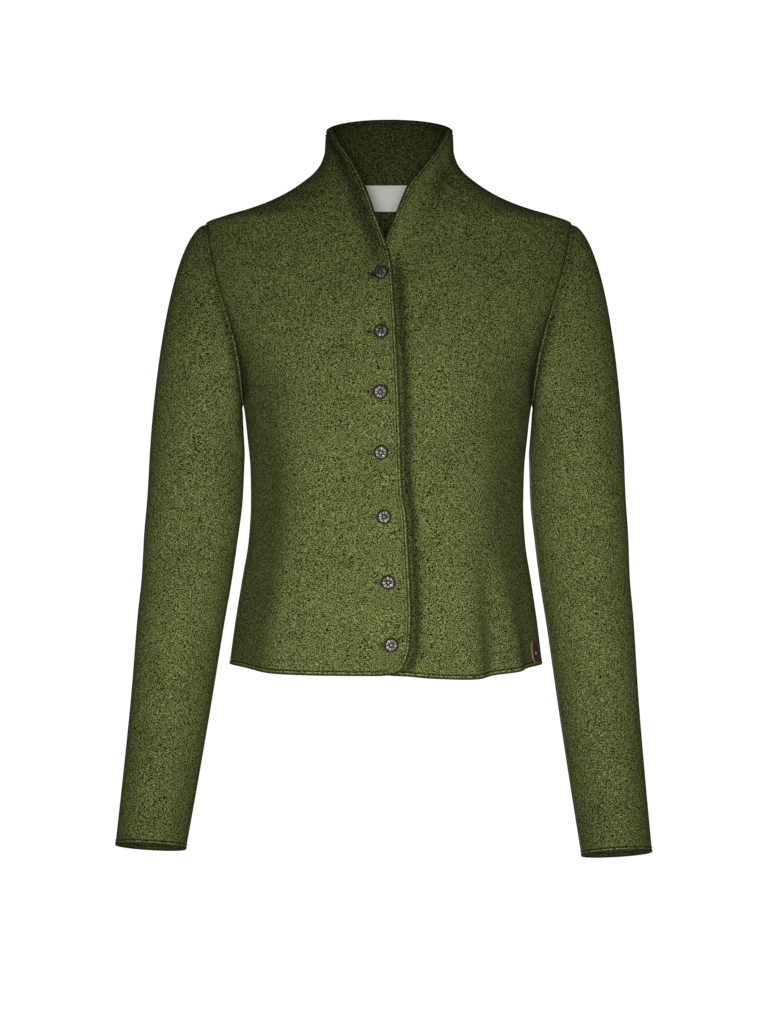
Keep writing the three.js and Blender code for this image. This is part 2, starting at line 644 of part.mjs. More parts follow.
// Half section of a button from the axis at the back to the axis at the front; relief marks the petal ring.
const BUTTON_PROFILE = [
  { r: 0, h: 0, relief: 0 },
  { r: 5.6, h: 0, relief: 0 },
  { r: 6.9, h: 0.7, relief: 0 },
  { r: BUTTON_RADIUS, h: 1.3, relief: 0 },
  { r: 6.1, h: 2, relief: 0.15 },
  { r: 4.4, h: 2.7, relief: 0.45 },
  { r: 2.7, h: 3, relief: 0.3 },
  { r: 1.7, h: 2.9, relief: 0 },
  { r: 0, h: BUTTON_DOME, relief: 0 },
];

function buttonHead() {
  const profile = BUTTON_PROFILE.map((p) => new THREE.Vector2(p.r, p.h));
  const geometry = new THREE.LatheGeometry(profile, 2 * PETALS);
  const at = geometry.attributes.position;
  for (let i = 0; i < at.count; i++) {
    const turn = Math.atan2(at.getX(i), at.getZ(i));
    const { relief } = BUTTON_PROFILE[i % BUTTON_PROFILE.length];
    at.setY(i, at.getY(i) + relief * Math.cos(PETALS * turn));
  }
  return geometry.translate(0, BUTTON_LIFT, 0);
}

const SHANK = { width: 3, thick: 1.5, foot: GAP - LAP_STEP };
function buttonSolid() {
  const length = BUTTON_LIFT + 0.6 - SHANK.foot;
  const shank = new THREE.CylinderGeometry(0.5, 0.5, length, 10).scale(SHANK.width, 1, SHANK.thick);
  shank.translate(0, SHANK.foot + length / 2, 0);
  return fromSolid(toSolid(buttonHead()).add(toSolid(shank)));
}

// Cuts the buttonholes, lens-shaped slits that run from each shank away from the edge.
function cutButtonholes(front) {
  let solid = toSolid(front);
  for (const { x, z } of BUTTONS) {
    const slit = new THREE.CylinderGeometry(0.5, 0.5, 4 * WALL, 14);
    slit.scale(BUTTONHOLE.length, 1, BUTTONHOLE.width).rotateY(0.001).translate(-BUTTONHOLE.lead, 0, 0);
    solid = solid.subtract(toSolid(placeOnBody(slit, angleFor(x - leanAt(z), z), z)));
  }
  return fromSolid(solid);
}

// ---------------------------------------------------------------- labels
function neckLabel() {
  const half = NECK_LABEL.width / 2;
  const face = (under) =>
    spread(NECK_LABEL.top, NECK_LABEL.top - NECK_LABEL.height, 3).map((z) =>
      spread(half, -half, 7).map((x) => panelPoint('back', angleFor(x, z, true), z, under)));
  return wallGeometry(face(WALL + NECK_LABEL.clear), face(WALL + NECK_LABEL.clear + NECK_LABEL.thick));
}

function sideTab() {
  const face = (lift) =>
    spread(0.04, 0.96, 7).map((t) => {
      const half = SIDE_TAB.halfTurn * (1 - Math.abs(2 * t - 1) ** 3) ** 0.5;
      const z = lerp(SIDE_TAB.top, SIDE_TAB.bottom, t);
      return spread(-half, half, 3).map((d) => panelPoint('left_front', rad(SIDE_TAB.turn + d), z, -lift));
    });
  return wallGeometry(face(GAP + SIDE_TAB.thick), face(GAP));
}

function rivet() {
  const dome = spread(0, Math.PI / 2, 3).map((a) =>
    new THREE.Vector2(RIVET.radius * Math.cos(a), RIVET.height * Math.sin(a)));
  dome[dome.length - 1].x = 0;
  const geometry = new THREE.LatheGeometry([new THREE.Vector2(0, 0), ...dome], 10);
  return placeOnBody(geometry, rad(SIDE_TAB.turn), RIVET.z, SIDE_TAB.thick + 2 * GAP + 0.2);
}

// ---------------------------------------------------------------- the garment
const metalFinish = { roughness: 0.4, metalness: 0.9 };
const rightFront = wallGeometry(frontGrid('right_front', 0), frontGrid('right_front', WALL));
add('front_right', cutButtonholes(rightFront), COLOURS.felt);
add('front_left', wallGeometry(frontGrid('left_front', 0), frontGrid('left_front', WALL)), COLOURS.felt);
add('back', wallGeometry(backGrid(0), backGrid(WALL)), COLOURS.felt);
add('collar_back', wallGeometry(collarGrid(0), collarGrid(WALL)), COLOURS.felt);
add('sleeve_right', wallGeometry(...sleeveGrids(-1), true), COLOURS.felt);
add('sleeve_left', wallGeometry(...sleeveGrids(1), true), COLOURS.felt);
add('binding_front_right', frontBinding('right_front'), COLOURS.band);
add('binding_front_left', frontBinding('left_front'), COLOURS.band);
add('binding_hem_back', backBinding(BACK_COLUMNS, (a) => HEM_Z + hemRise(a), 1), COLOURS.band);
add('binding_collar_back', backBinding(COLLAR_COLUMNS, collarTop, -1), COLOURS.band);
add('binding_cuff_right', cuffBinding(-1), COLOURS.band);
add('binding_cuff_left', cuffBinding(1), COLOURS.band);
BUTTONS.forEach(({ x, z }, i) => {
  const button = placeOnBody(buttonSolid(), angleFor(x - leanAt(z), z), z);
  add(`button_${i + 1}`, button, COLOURS.metal, metalFinish);
});
add('label_neck', neckLabel(), COLOURS.label);
add('tab_side', sideTab(), COLOURS.leather, { roughness: 0.6, metalness: 0 });
add('tab_side_rivet', rivet(), COLOURS.metal, metalFinish);

export default garment;
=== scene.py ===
"""Dresses a felted-knit buttoned cardigan: cloth shells, bindings, stitching, metal buttons and labels.

Lengths are millimetres in the tables and methods and metres in the meshes. The frame is the part's own: +Z
up, the front faces -Y, the origin at the base of the neck. Angle 0 on the body is the centre front, +90
degrees the wearer's left side and 180 the centre back.
"""
import logging
import math
from dataclasses import dataclass, field
from enum import Enum
from typing import Callable, NamedTuple, Sequence

import bmesh
import bpy
import numpy as np
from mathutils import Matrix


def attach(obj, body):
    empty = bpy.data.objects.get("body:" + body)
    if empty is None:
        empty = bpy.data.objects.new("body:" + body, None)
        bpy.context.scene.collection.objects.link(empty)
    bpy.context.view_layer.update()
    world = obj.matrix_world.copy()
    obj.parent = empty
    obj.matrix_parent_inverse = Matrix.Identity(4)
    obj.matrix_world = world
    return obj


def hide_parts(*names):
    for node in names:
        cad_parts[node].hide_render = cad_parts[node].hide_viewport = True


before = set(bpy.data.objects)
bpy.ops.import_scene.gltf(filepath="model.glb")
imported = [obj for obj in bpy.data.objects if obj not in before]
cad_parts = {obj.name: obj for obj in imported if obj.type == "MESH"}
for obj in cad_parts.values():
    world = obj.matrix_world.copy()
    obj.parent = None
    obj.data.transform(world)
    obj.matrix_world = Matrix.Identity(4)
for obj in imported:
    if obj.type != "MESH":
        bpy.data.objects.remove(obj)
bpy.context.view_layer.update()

LOG = logging.getLogger("cardigan")
MM = 0.001
RIGHT_ANGLE = math.pi / 2
Array = np.ndarray
Socket = bpy.types.NodeSocket


class Side(Enum):
    """The wearer's side that a piece belongs to; the value is its sign along X."""

    RIGHT = -1
    LEFT = 1


def table(kind: type, *rows: tuple[float, ...]) -> tuple[NamedTuple, ...]:
    """Return the rows of a table with their columns named by their kind."""
    return tuple(kind(*row) for row in rows)


# ------------------------------------------------------------------ sizes of the garment
WALL = 2.2
GAP = 0.3
SEAM = 0.04  # between two sewn edges
BAND_WIDTH = 4.0
BAND_THICK = 2.8
TUCK = 1.2  # how far the cloth reaches into the fold of a binding
BAND_INSET = BAND_WIDTH - TUCK
BAND_NOSE = 0.95  # how far the folded nose rounds over
BAND_NOSE_SHADE = 2.9  # painted shade over the binding's rounded nose, where it turns from the light, starts this far inside the nose
BAND_NOSE_SHADE_FADE = 1.1
# the painted shade of the seam along the binding's inner edge reaches this far
BAND_SEAM_SHADE_REACH = 0.35
BAND_REVERSE_SHADE = 0.7  # painted shade on the binding's inside face, for the shade inside the garment, from 0 to 1
HEM_Z = -510.0
BOTTOM_Z = HEM_Z + BAND_INSET
ARMPIT_Z = -238.0
SHOULDER_Z = -50.0
NECK_Z = 2.0
COLLAR_SIDE_Z = 46.5
COLLAR_BACK_RISE = 18.5
COLLAR_TOP_CURVE = 0.95  # power of the cosine that the collar's top edge follows
LAP_STEP = WALL + 0.9
ARM_STEPS = 10
BODY_RADIUS = 130.0  # about the body's, to turn degrees into millimetres along the cloth
SLEEVE_RADIUS = 50.0
FINENESS = 4  # fine rows or columns to one of the solids' own
REVERSE_SHADE = 0.62  # painted shade on the cloth's inner face, for the shade inside the garment, from 0 to 1
REVERSE_SHADE_GAIN = 0.6  # share of the outer face's painted shade that the inner face adds
EDGE_STEPS = np.array([0.0, 0.6, 1.2, 1.45, 1.75, 2.1, 2.6, 3.4, 4.8])  # rows and columns beside an edge


class Dip(NamedTuple):
    """A dip in the hem: degrees round, spread in degrees, depth, and degrees over which it starts."""

    turn: float
    spread: float
    depth: float
    ease: float


HEM_CLIMB = 6.0
HEM_FADE_Z = -400.0  # above this the rows are level
HEM_DIP = Dip(27, 22, 4.4, 14)


class Section(NamedTuple):
    """A level section of the body: half its width, depth to the front and back, boxiness."""

    z: float
    half: float
    fore: float
    aft: float
    square: float


SECTIONS = table(
    Section,
    (-512, 165, 112, 109, 2.3),
    (-458, 158, 111, 103, 2.3),
    (-417, 151.5, 110, 94, 2.25),
    (-376, 145, 109, 84.5, 2.2),
    (-340, 143, 108, 79, 2.2),
    (-304, 143.5, 109, 81, 2.2),
    (-270, 146, 111, 88, 2.25),
    (-238, 149, 114, 96, 2.3),
    (-220, 156, 115, 101, 2.3),
    (-199, 164, 114.5, 105, 2.3),
    (-173, 174, 111, 108.5, 2.3),
    (-144, 184, 104.5, 110, 2.3),
    (-115, 192, 95.5, 107, 2.3),
    (-88, 197, 86, 101, 2.25),
    (-68, 196, 78, 94, 2.2),
    (-50, 188, 73, 87, 2.15),
    (-43, 170, 71, 84, 2.15),
    (-36, 146, 69, 80, 2.1),
    (-28, 124, 67, 76, 2.1),
    (-18, 104, 64.5, 71, 2.1),
    (-8, 89, 62, 67.5, 2.1),
    (2, 77, 60, 65, 2.1),
    (12, 70, 58, 63, 2.1),
    (24, 66.5, 56, 61, 2.1),
    (36, 66, 54, 60, 2.1),
    (46, 64.5, 52, 60, 2.1),
    (66, 61, 50, 60.5, 2.1),
)


class ArmholeCut(NamedTuple):
    """Where the armhole cuts the front and the back: distance from the centre."""

    z: float
    fore: float
    aft: float


ARMHOLE = table(
    ArmholeCut,
    (-238, 149, 149),
    (-220, 150.5, 153.5),
    (-199, 153.5, 158),
    (-173, 158.5, 164),
    (-144, 166, 171),
    (-115, 174.5, 178),
    (-88, 181.5, 184),
    (-68, 185.5, 187),
    (-50, 188, 188),
)


class EdgePoint(NamedTuple):
    """How far a front's edge reaches past the centre line at a height."""

    z: float
    over: float


FRONT_EDGES = {
    Side.RIGHT: table(
        EdgePoint,
        (-512, 8), (-508, 13), (-500, 19.5), (-482, 25), (-455, 26.5), (-395, 23.5),
        (-349, 20.5), (-327, 16.5), (-256, 13.5), (-177, 9.5), (-117, 5.5), (-95, 3),
        (-75, -2.5), (-47, -13), (-17, -24), (11, -38), (34, -53), (46, -59),
    ),
    Side.LEFT: table(
        EdgePoint,
        (-512, 6), (-500, 16), (-482, 20), (-256, 20), (-140, 17), (-95, 10),
        (-73, 4), (-62, 0), (-40, -9), (-14, -20), (-2, -29.5), (19, -45),
        (34, -54), (46, -59),
    ),
}


class SleeveRing(NamedTuple):
    """A ring of the sleeve: inner and outer distance from the centre, shift to the back, half depth."""

    z: float
    inner: float
    outer: float
    back: float
    deep: float


SLEEVE_RINGS = table(
    SleeveRing,
    (-290, 146.5, 244.5, 4, 57),
    (-335, 148.5, 247, 8, 56),
    (-376, 153.5, 250, 8, 54.5),
    (-417, 159, 251.5, 4, 53),
    (-458, 165.5, 255, -2, 51),
    (-541, 177.5, 260, -15, 47.5),
    (-623, 190, 266.5, -29, 44),
    (-692, 201, 272.5, -42, 41),
)


class Fold(NamedTuple):
    """A hanging fold: side, degrees round, spread in degrees, top and foot, depth out (+) or in (-)."""

    side: int
    turn: float
    spread: float
    top: float
    foot: float
    depth: float


FOLDS = table(
    Fold,
    (1, 19, 6, -375, -530, -4.5),
    (1, 29, 7, -380, -530, 5),
    (1, 42, 8, -330, -500, -10.5),
    (1, 55, 14, -120, -250, -5),
    (1, 71, 17, -200, -330, -8.5),
    (1, 56, 8, -400, -530, 6.5),
    (-1, 40, 7, -240, -400, 1.5),
    (-1, 57, 14, -110, -230, -6),
    (-1, 73, 18, -200, -330, -11),
    (1, 150, 10, -330, -530, -5),
    (-1, 146, 10, -340, -530, -5),
    (1, 166, 9, -380, -530, 4),
    (-1, 168, 9, -360, -530, 3),
)


class Crease(NamedTuple):
    """A soft crease from one point of the cloth to another, in degrees round and height, with its width."""

    turn_a: float
    z_a: float
    turn_b: float
    z_b: float
    width: float
    depth: float


BODY_CREASES = table(
    Crease,
    (-56, 26, -26, -14, 12, -2.4),
    (-26, -14, -9, -62, 12, -2.6),
    (-12, -50, -4, -118, 10, -2.0),
    (56, 20, 36, -20, 14, -2.6),
    (36, -20, 24, -52, 12, -1.4),
    (34, 6, 10, -34, 10, 1.6),
    (-80, -222, -52, -176, 11, -1.6),
    (-83, -246, -58, -214, 10, -1.2),
    (80, -224, 55, -182, 11, -1.5),
    (83, -250, 60, -226, 9, -1.0),
    (-70, -318, -34, -338, 12, -1.1),
    (72, -322, 40, -344, 13, -1.2),
    (-64, -352, -40, -360, 10, -0.8),
    (66, -360, 44, -372, 10, -0.9),
    (14, -168, 26, -214, 14, -0.7),
    (-10, -290, -26, -316, 12, -0.7),
    (104, -222, 128, -176, 13, -1.6),
    (-103, -228, -126, -180, 13, -1.5),
    (112, -322, 150, -338, 14, -1.6),
    (-110, -316, -148, -334, 14, -1.5),
    (118, -352, 158, -362, 12, -1.2),
    (-116, -350, -160, -358, 12, -1.3),
    (160, -40, -164, -46, 16, -1.0),
)
SLEEVE_CREASES = table(
    Crease,
    (60, -318, 118, -340, 9, -1.5),
    (52, -352, 126, -356, 9, -2.6),
    (58, -384, 132, -376, 10, -3.0),
    (70, -416, 128, -402, 9, -2.0),
    (96, -462, 140, -440, 10, -1.3),
    (120, -262, 160, -300, 10, -1.6),
    (60, -232, 100, -262, 12, -0.9),
    (200, -286, 236, -250, 12, -1.6),
    (208, -322, 246, -292, 12, -1.1),
    (40, -560, 96, -580, 13, -0.9),
    (250, -440, 290, -470, 16, -0.9),
    (70, -640, 120, -622, 12, -0.8),
)


class ButtonPlace(NamedTuple):
    """Height and distance across of a button, and how far it is turned to a side, in degrees."""

    z: float
    x: float
    turned: float
    spun: float


BUTTONS = table(
    ButtonPlace,
    (-109, -6, 12, 4),
    (-168, -6, 2, 19),
    (-228, -7, -2, 33),
    (-288, -6, 3, 9),
    (-352, -3, -3, 27),
    (-417, 1, 2, 40),
    (-479, 4, -2, 14),
)


# ------------------------------------------------------------------ curves and small sums
def smooth(t: Array) -> Array:
    """Return an S-curve from 0 to 1."""
    t = np.clip(t, 0.0, 1.0)
    return t * t * (3.0 - 2.0 * t)


def bell(t: Array) -> Array:
    """Return a bell curve of height 1 about 0."""
    return np.exp(-t * t)


class SmoothCurve:
    """A curve through the rows of a table that never overshoots them."""

    def __init__(self, rows: Sequence[NamedTuple], column: str) -> None:
        """Work out the slopes.

        Args:
            rows: the table, with a z column in rising or falling order.
            column: the column that the curve gives.
        """
        ordered = sorted(rows, key=lambda row: row.z)
        self.at = np.array([row.z for row in ordered], float)
        self.value = np.array([getattr(row, column) for row in ordered], float)
        slope = np.diff(self.value) / np.diff(self.at)
        before, after = slope[:-1], slope[1:]
        with np.errstate(divide="ignore", invalid="ignore"):
            mean = np.where(before * after > 0, 2 * before * after / (before + after), 0.0)
        self.bend = np.concatenate([slope[:1], mean, slope[-1:]])

    def __call__(self, z: Array) -> Array:
        """Return the column's value at each height.

        Args:
            z: heights, held within the table.

        Returns:
            The values, one for each height.
        """
        z = np.clip(np.asarray(z, float), self.at[0], self.at[-1])
        i = np.clip(np.searchsorted(self.at, z, side="right") - 1, 0, len(self.at) - 2)
        span = self.at[i + 1] - self.at[i]
        t = (z - self.at[i]) / span
        return (
            self.value[i] * (2 * t**3 - 3 * t**2 + 1)
            + self.bend[i] * span * (t**3 - 2 * t**2 + t)
            + self.value[i + 1] * (3 * t**2 - 2 * t**3)
            + self.bend[i + 1] * span * (t**3 - t**2)
        )


def unit(vectors: Array) -> Array:
    """Return the vectors at length 1."""
    return vectors / np.maximum(np.linalg.norm(vectors, axis=-1, keepdims=True), 1e-12)


def crease_sum(creases: Sequence[Crease], turn: Array, z: Array, radius: float) -> Array:
    """Add up the creases at points of a surface.

    Args:
        creases: the table.
        turn: degrees round, one for each point.
        z: height of each point.
        radius: of the surface, to turn degrees into millimetres.

    Returns:
        The offset of each point along its normal.
    """
    per_degree = radius * math.pi / 180
    total = np.zeros(np.broadcast(turn, z).shape)
    for crease in creases:
        way_u = (crease.turn_b - crease.turn_a + 180) % 360 - 180
        off_u = ((turn - crease.turn_a + 180) % 360 - 180) * per_degree
        off_z = z - crease.z_a
        run = np.array([way_u * per_degree, crease.z_b - crease.z_a])
        length = float(np.hypot(*run))
        along = (off_u * run[0] + off_z * run[1]) / length**2
        nearest = np.clip(along, 0.0, 1.0)
        aside = np.hypot(off_u - nearest * run[0], off_z - nearest * run[1])
        fade = smooth(np.minimum(nearest, 1 - nearest) * 3 + 0.15)
        total += crease.depth * bell(aside / crease.width) * fade
    return total


@dataclass
class BodyForm:
    """The garment's body as a surface of angle and height, shared by the fronts, back, collar and trims."""

    lean_at: float = 2.1
    lean_per_mm: float = 0.0079
    bust: tuple[float, float, float, float] = (76, -214, 52, 7)
    shoulder_blade: tuple[float, float, float, float] = (80, -135, 70, 4)
    lap_fade: tuple[float, float] = (-32, 30)
    lap_reach: tuple[float, float] = (34, 66)
    ease_above: float = 26
    ease_below: float = 70
    sections: dict[str, SmoothCurve] = field(init=False)
    armhole: dict[str, SmoothCurve] = field(init=False)
    edges: dict[Side, SmoothCurve] = field(init=False)

    def __post_init__(self) -> None:
        """Make the curves of the tables."""
        self.sections = {c: SmoothCurve(SECTIONS, c) for c in ("half", "fore", "aft", "square")}
        self.armhole = {c: SmoothCurve(ARMHOLE, c) for c in ("fore", "aft")}
        self.edges = {side: SmoothCurve(rows, "over") for side, rows in FRONT_EDGES.items()}

    def lean(self, z: Array) -> Array:
        """Return how far the garment stands to a side at a height."""
        return self.lean_at + self.lean_per_mm * z

    def fold(self, angle: Array, z: Array) -> Array:
        """Return the offset that the hanging folds give.

        Args:
            angle: turn about the vertical.
            z: height.

        Returns:
            The offset off the cloth.
        """
        turn = np.degrees(np.abs(angle))
        total = np.zeros(np.broadcast(angle, z).shape)
        for fold in FOLDS:
            grow = smooth((fold.top - z) / (fold.top - fold.foot)) * (np.sign(angle) == fold.side)
            total += fold.depth * grow * bell((turn - fold.turn) / fold.spread)
        return total

    def point(self, angle: Array, z: Array) -> Array:
        """Return points of the outer surface.

        Args:
            angle: turn about the vertical, from -pi to pi.
            z: height.

        Returns:
            The points, with a last axis of 3.
        """
        angle, z = np.broadcast_arrays(np.asarray(angle, float), np.asarray(z, float))
        is_front = np.abs(angle) <= RIGHT_ANGLE
        power = 2 / self.sections["square"](z)
        across = np.sign(angle) * self.sections["half"](z) * np.abs(np.sin(angle)) ** power
        depth = np.where(is_front, self.sections["fore"](z), self.sections["aft"](z))
        facing = np.abs(np.cos(angle))
        y = depth * facing**power
        for form, applies in ((self.bust, is_front), (self.shoulder_blade, ~is_front)):
            off = np.hypot(np.abs(across) - form[0], z - form[1]) / form[2]
            y = y + applies * form[3] * bell(off) * facing
        fold = self.fold(angle, z)
        y = y + fold * facing
        x = across + fold * np.sin(angle) + self.lean(z)
        return np.stack([x, np.where(is_front, -y, y), z], axis=-1)

    def angle_for(self, across: Array, z: Array, is_back: bool = False) -> Array:
        """Return the angle whose point lies a given distance from the centre."""
        share = np.minimum(1.0, np.abs(across) / self.sections["half"](z))
        turn = np.arcsin(share ** (self.sections["square"](z) / 2))
        return np.sign(across) * (math.pi - turn if is_back else turn)

    def normal(self, angle: Array, z: Array) -> Array:
        """Return outward normals, measured on the point's own side of the side seam.

        Args:
            angle: turn about the vertical.
            z: height.

        Returns:
            The unit normals.
        """
        angle, z = np.broadcast_arrays(np.asarray(angle, float), np.asarray(z, float))
        step = 0.02 * np.where(angle < 0, -1.0, 1.0)
        beyond = np.abs(angle + step)
        crosses = (np.abs(angle) <= RIGHT_ANGLE) & (beyond > RIGHT_ANGLE)
        step = np.where(crosses | (beyond > math.pi), -step, step)
        here = self.point(angle, z)
        around = (self.point(angle + step, z) - here) * np.sign(step)[..., None]
        upward = self.point(angle, z + 1) - here
        return unit(np.cross(around, upward))

    def outer_turn(self, z: Array, is_back: bool) -> Array:
        """Return the turn of a panel's outer boundary: side seam, armhole, shoulder seam or collar side.

        Args:
            z: heights.
            is_back: the panel is the back.

        Returns:
            The turns, without a sign.
        """
        z = np.asarray(z, float)
        inside = (z > ARMPIT_Z + 1e-9) & (z < SHOULDER_Z - 1e-9)
        cut = self.armhole["aft" if is_back else "fore"](z)
        turn = np.abs(self.angle_for(cut, z, is_back))
        return np.where(inside, turn, RIGHT_ANGLE)

    def column_turn(self, z: Array, is_back: bool) -> Array:
        """Return the turn that the inner columns share, which eases past the armhole's two ends.

        Args:
            z: heights.
            is_back: the panel is the back.

        Returns:
            The turns, without a sign.
        """
        z = np.asarray(z, float)
        top, foot = armhole_height(ARM_STEPS - 1.0), armhole_height(1.0)
        nearest = self.outer_turn(np.clip(z, foot, top), is_back)
        above = smooth((z - SHOULDER_Z) / self.ease_above)
        below = smooth((ARMPIT_Z - z) / self.ease_below)
        return nearest + (RIGHT_ANGLE - nearest) * np.where(z > ARMPIT_Z, above, below)

    def lap_drop(self, points: Array) -> Array:
        """Return how far the left front lies below the common surface, under the right front.

        Args:
            points: on the common surface.

        Returns:
            The drop at each.
        """
        across = np.abs(points[..., 0] - self.lean(points[..., 2]))
        low = smooth((self.lap_fade[0] - points[..., 2]) / self.lap_fade[1])
        inner, outer = self.lap_reach
        return LAP_STEP * low * (1 - smooth((across - inner) / (outer - inner)))

    def edge_angle(self, side: Side, z: Array, inset: float = 0.0) -> Array:
        """Return the angle of a front's edge, less an inset measured square to it on the cloth.

        Args:
            side: which front.
            z: heights.
            inset: distance from the edge.

        Returns:
            The angles.
        """
        z = np.asarray(z, float)
        angle = self.angle_for(-side.value * self.edges[side](z), z)
        if np.all(np.asarray(inset) == 0):
            return angle
        step = 0.01 * side.value
        around = self.point(angle + step, z) - self.point(angle, z)
        above, below = (self.point(self.edge_angle(side, z + up), z + up) for up in (1, -1))
        along = above - below
        reach = np.linalg.norm(around, axis=-1)
        skew = np.sum(around * along, axis=-1) / (reach * np.linalg.norm(along, axis=-1))
        return angle + step * inset / (reach * np.sqrt(1 - skew**2))


def armhole_height(k: Array) -> Array:
    """Return the height of step k of the armhole, 0 at the armpit and ARM_STEPS at the shoulder."""
    return ARMPIT_Z + (SHOULDER_Z - ARMPIT_Z) / 2 * (1 - np.cos(np.pi * np.asarray(k) / ARM_STEPS))


def refine(rows: Sequence[float], count: int) -> Array:
    """Return the rows with each step between them cut in equal parts."""
    at = np.arange(len(rows) - 1, dtype=float)
    fine = np.append((at[:, None] + np.arange(count) / count).ravel(), len(rows) - 1)
    return np.interp(fine, np.arange(len(rows)), rows)


def hem_rise(angle: Array) -> Array:
    """Return how much the hem climbs towards the side seams, and dips on the left front."""
    turn = np.degrees(angle)
    dip = HEM_DIP.depth * bell((turn - HEM_DIP.turn) / HEM_DIP.spread) * smooth(turn / HEM_DIP.ease)
    return HEM_CLIMB * np.abs(np.sin(angle)) ** 4 - dip


def hem_fade(z: Array) -> Array:
    """Return the share of that climb at a height."""
    return smooth((z - HEM_FADE_Z) / (BOTTOM_Z - HEM_FADE_Z))


def collar_top(angle: Array) -> Array:
    """Return the height of the collar's top edge round the back of the neck."""
    return COLLAR_SIDE_Z + COLLAR_BACK_RISE * np.abs(np.cos(angle)) ** COLLAR_TOP_CURVE


def wrapped(angle: Array) -> Array:
    """Return angles past 180 degrees as negative ones."""
    return np.where(angle > math.pi, angle - 2 * math.pi, angle)


def panel_heights(has_collar: bool) -> Array:
    """Return the fine row heights of a front or the back, from the hem up.

    Args:
        has_collar: the panel goes on up into the collar.

    Returns:
        The heights.
    """
    below = [BOTTOM_Z, -485, -460, -435, -410, -385, -360, -335, -310, -286, -262, ARMPIT_Z]
    arm = armhole_height(np.linspace(0, ARM_STEPS, ARM_STEPS * FINENESS + 1))
    above = [SHOULDER_Z, -46.5, -43, -39.5, -36, -31, -24, -16, -7, NECK_Z]
    if has_collar:
        above += [13, 24, 35, COLLAR_SIDE_Z - BAND_INSET]
    low, high = refine(below, FINENESS)[1:-1], refine(above, FINENESS)[1:-1]
    foot = BOTTOM_Z + EDGE_STEPS
    head = above[-1] - EDGE_STEPS[::-1]
    return np.concatenate([foot, low[low > foot[-1] + 1], arm, high[high < head[0] - 1], head])


# ------------------------------------------------------------------ meshes
def make_object(
    name: str, points: Array, faces: Array, uv: Array | None = None, smooth_angle: float = 50.0
) -> bpy.types.Object:
    """Make a mesh object from points in millimetres.

    Args:
        name: of the object.
        points: one row of three for each vertex.
        faces: one row of vertex numbers for each face, all with as many corners.
        uv: one row of two for each vertex, in millimetres along the cloth.
        smooth_angle: edges that turn by more than this many degrees stay crisp.

    Returns:
        The object, linked to the scene.
    """
    mesh = bpy.data.meshes.new(name)
    corners = faces.shape[1]
    mesh.vertices.add(len(points))
    mesh.vertices.foreach_set("co", (points * MM).astype(np.float32).ravel())
    mesh.loops.add(faces.size)
    mesh.loops.foreach_set("vertex_index", faces.astype(np.int32).ravel())
    mesh.polygons.add(len(faces))
    mesh.polygons.foreach_set("loop_start", np.arange(0, faces.size, corners, dtype=np.int32))
    if uv is not None:
        layer = mesh.uv_layers.new(name="cloth")
        layer.data.foreach_set("uv", uv[faces.ravel()].astype(np.float32).ravel())
    mesh.update(calc_edges=True)
    mesh.validate()
    mesh.shade_smooth()
    mesh.set_sharp_from_angle(angle=math.radians(smooth_angle))
    thing = bpy.data.objects.new(name, mesh)
    bpy.context.scene.collection.objects.link(thing)
    return thing


def set_tone_and_painted_shade(thing: bpy.types.Object, value: Array) -> None:
    """Store what the finish reads at each vertex: on metal how bright its worn relief is, on leather its pale
    edge, on cloth painted shade and highlight.
    """
    layer = thing.data.attributes.new("relief", "FLOAT", "POINT")
    layer.data.foreach_set("value", value.astype(np.float32).ravel())


def grid_numbers(points: Array) -> Array:
    """Return the vertex numbers of a grid of points, [row][column]."""
    return np.arange(points.shape[0] * points.shape[1]).reshape(points.shape[:2])


def strip_faces(a: Array, b: Array, closes: bool) -> Array:
    """Return the quads between two runs of vertex numbers."""
    if closes:
        a, b = np.append(a, a[0]), np.append(b, b[0])
    return np.stack([a[:-1], a[1:], b[1:], b[:-1]], axis=-1)


def grid_faces(numbers: Array, closes: bool) -> Array:
    """Return the quads of a grid of vertex numbers, [row][column], that may close round its columns."""
    return np.concatenate([strip_faces(numbers[r], numbers[r + 1], closes) for r in range(len(numbers) - 1)])


def wall_object(
    name: str,
    outer: Array,
    inner: Array,
    uv: Array,
    is_tube: bool = False,
    is_mirrored: bool = False,
    closed: Array | float = 0.0,
) -> bpy.types.Object:
    """Make a closed wall of cloth from the grids of its two faces.

    Args:
        name: of the object.
        outer: points of the outer face, [row][column].
        inner: points of the inner face, in the same order.
        uv: place of each grid point on the flat cloth, in millimetres.
        is_tube: the columns close round.
        is_mirrored: the columns run clockwise as seen from above.
        closed: the outer face's tone, from 1 dark down to -1 pale; on cloth it is painted shade, and painted
            highlight below 0.

    Returns:
        The object.
    """
    rows, columns = outer.shape[:2]
    out = grid_numbers(outer)
    into = out + rows * columns
    faces = [grid_faces(out, is_tube), grid_faces(into, is_tube)[:, ::-1]]
    faces.append(strip_faces(into[0], out[0], is_tube))
    faces.append(strip_faces(out[-1], into[-1], is_tube))
    if not is_tube:
        faces.append(strip_faces(out[:, 0], into[:, 0], False))
        faces.append(strip_faces(into[:, -1], out[:, -1], False))
    joined = np.concatenate(faces)
    if is_mirrored:
        joined = joined[:, ::-1]
    points = np.concatenate([outer.reshape(-1, 3), inner.reshape(-1, 3)])
    flat = uv.reshape(-1, 2)
    thing = make_object(name, points, joined, np.concatenate([flat, flat]))
    painted_shade_and_edge_tone = np.broadcast_to(closed, outer.shape[:2])
    # the inner face gets painted shade: a base for the inside of the garment, plus a share of the outer
    # face's
    reverse = np.clip(REVERSE_SHADE + REVERSE_SHADE_GAIN * np.maximum(painted_shade_and_edge_tone, 0), 0, 1)
    set_tone_and_painted_shade(thing, np.concatenate([painted_shade_and_edge_tone, reverse]))
    return thing


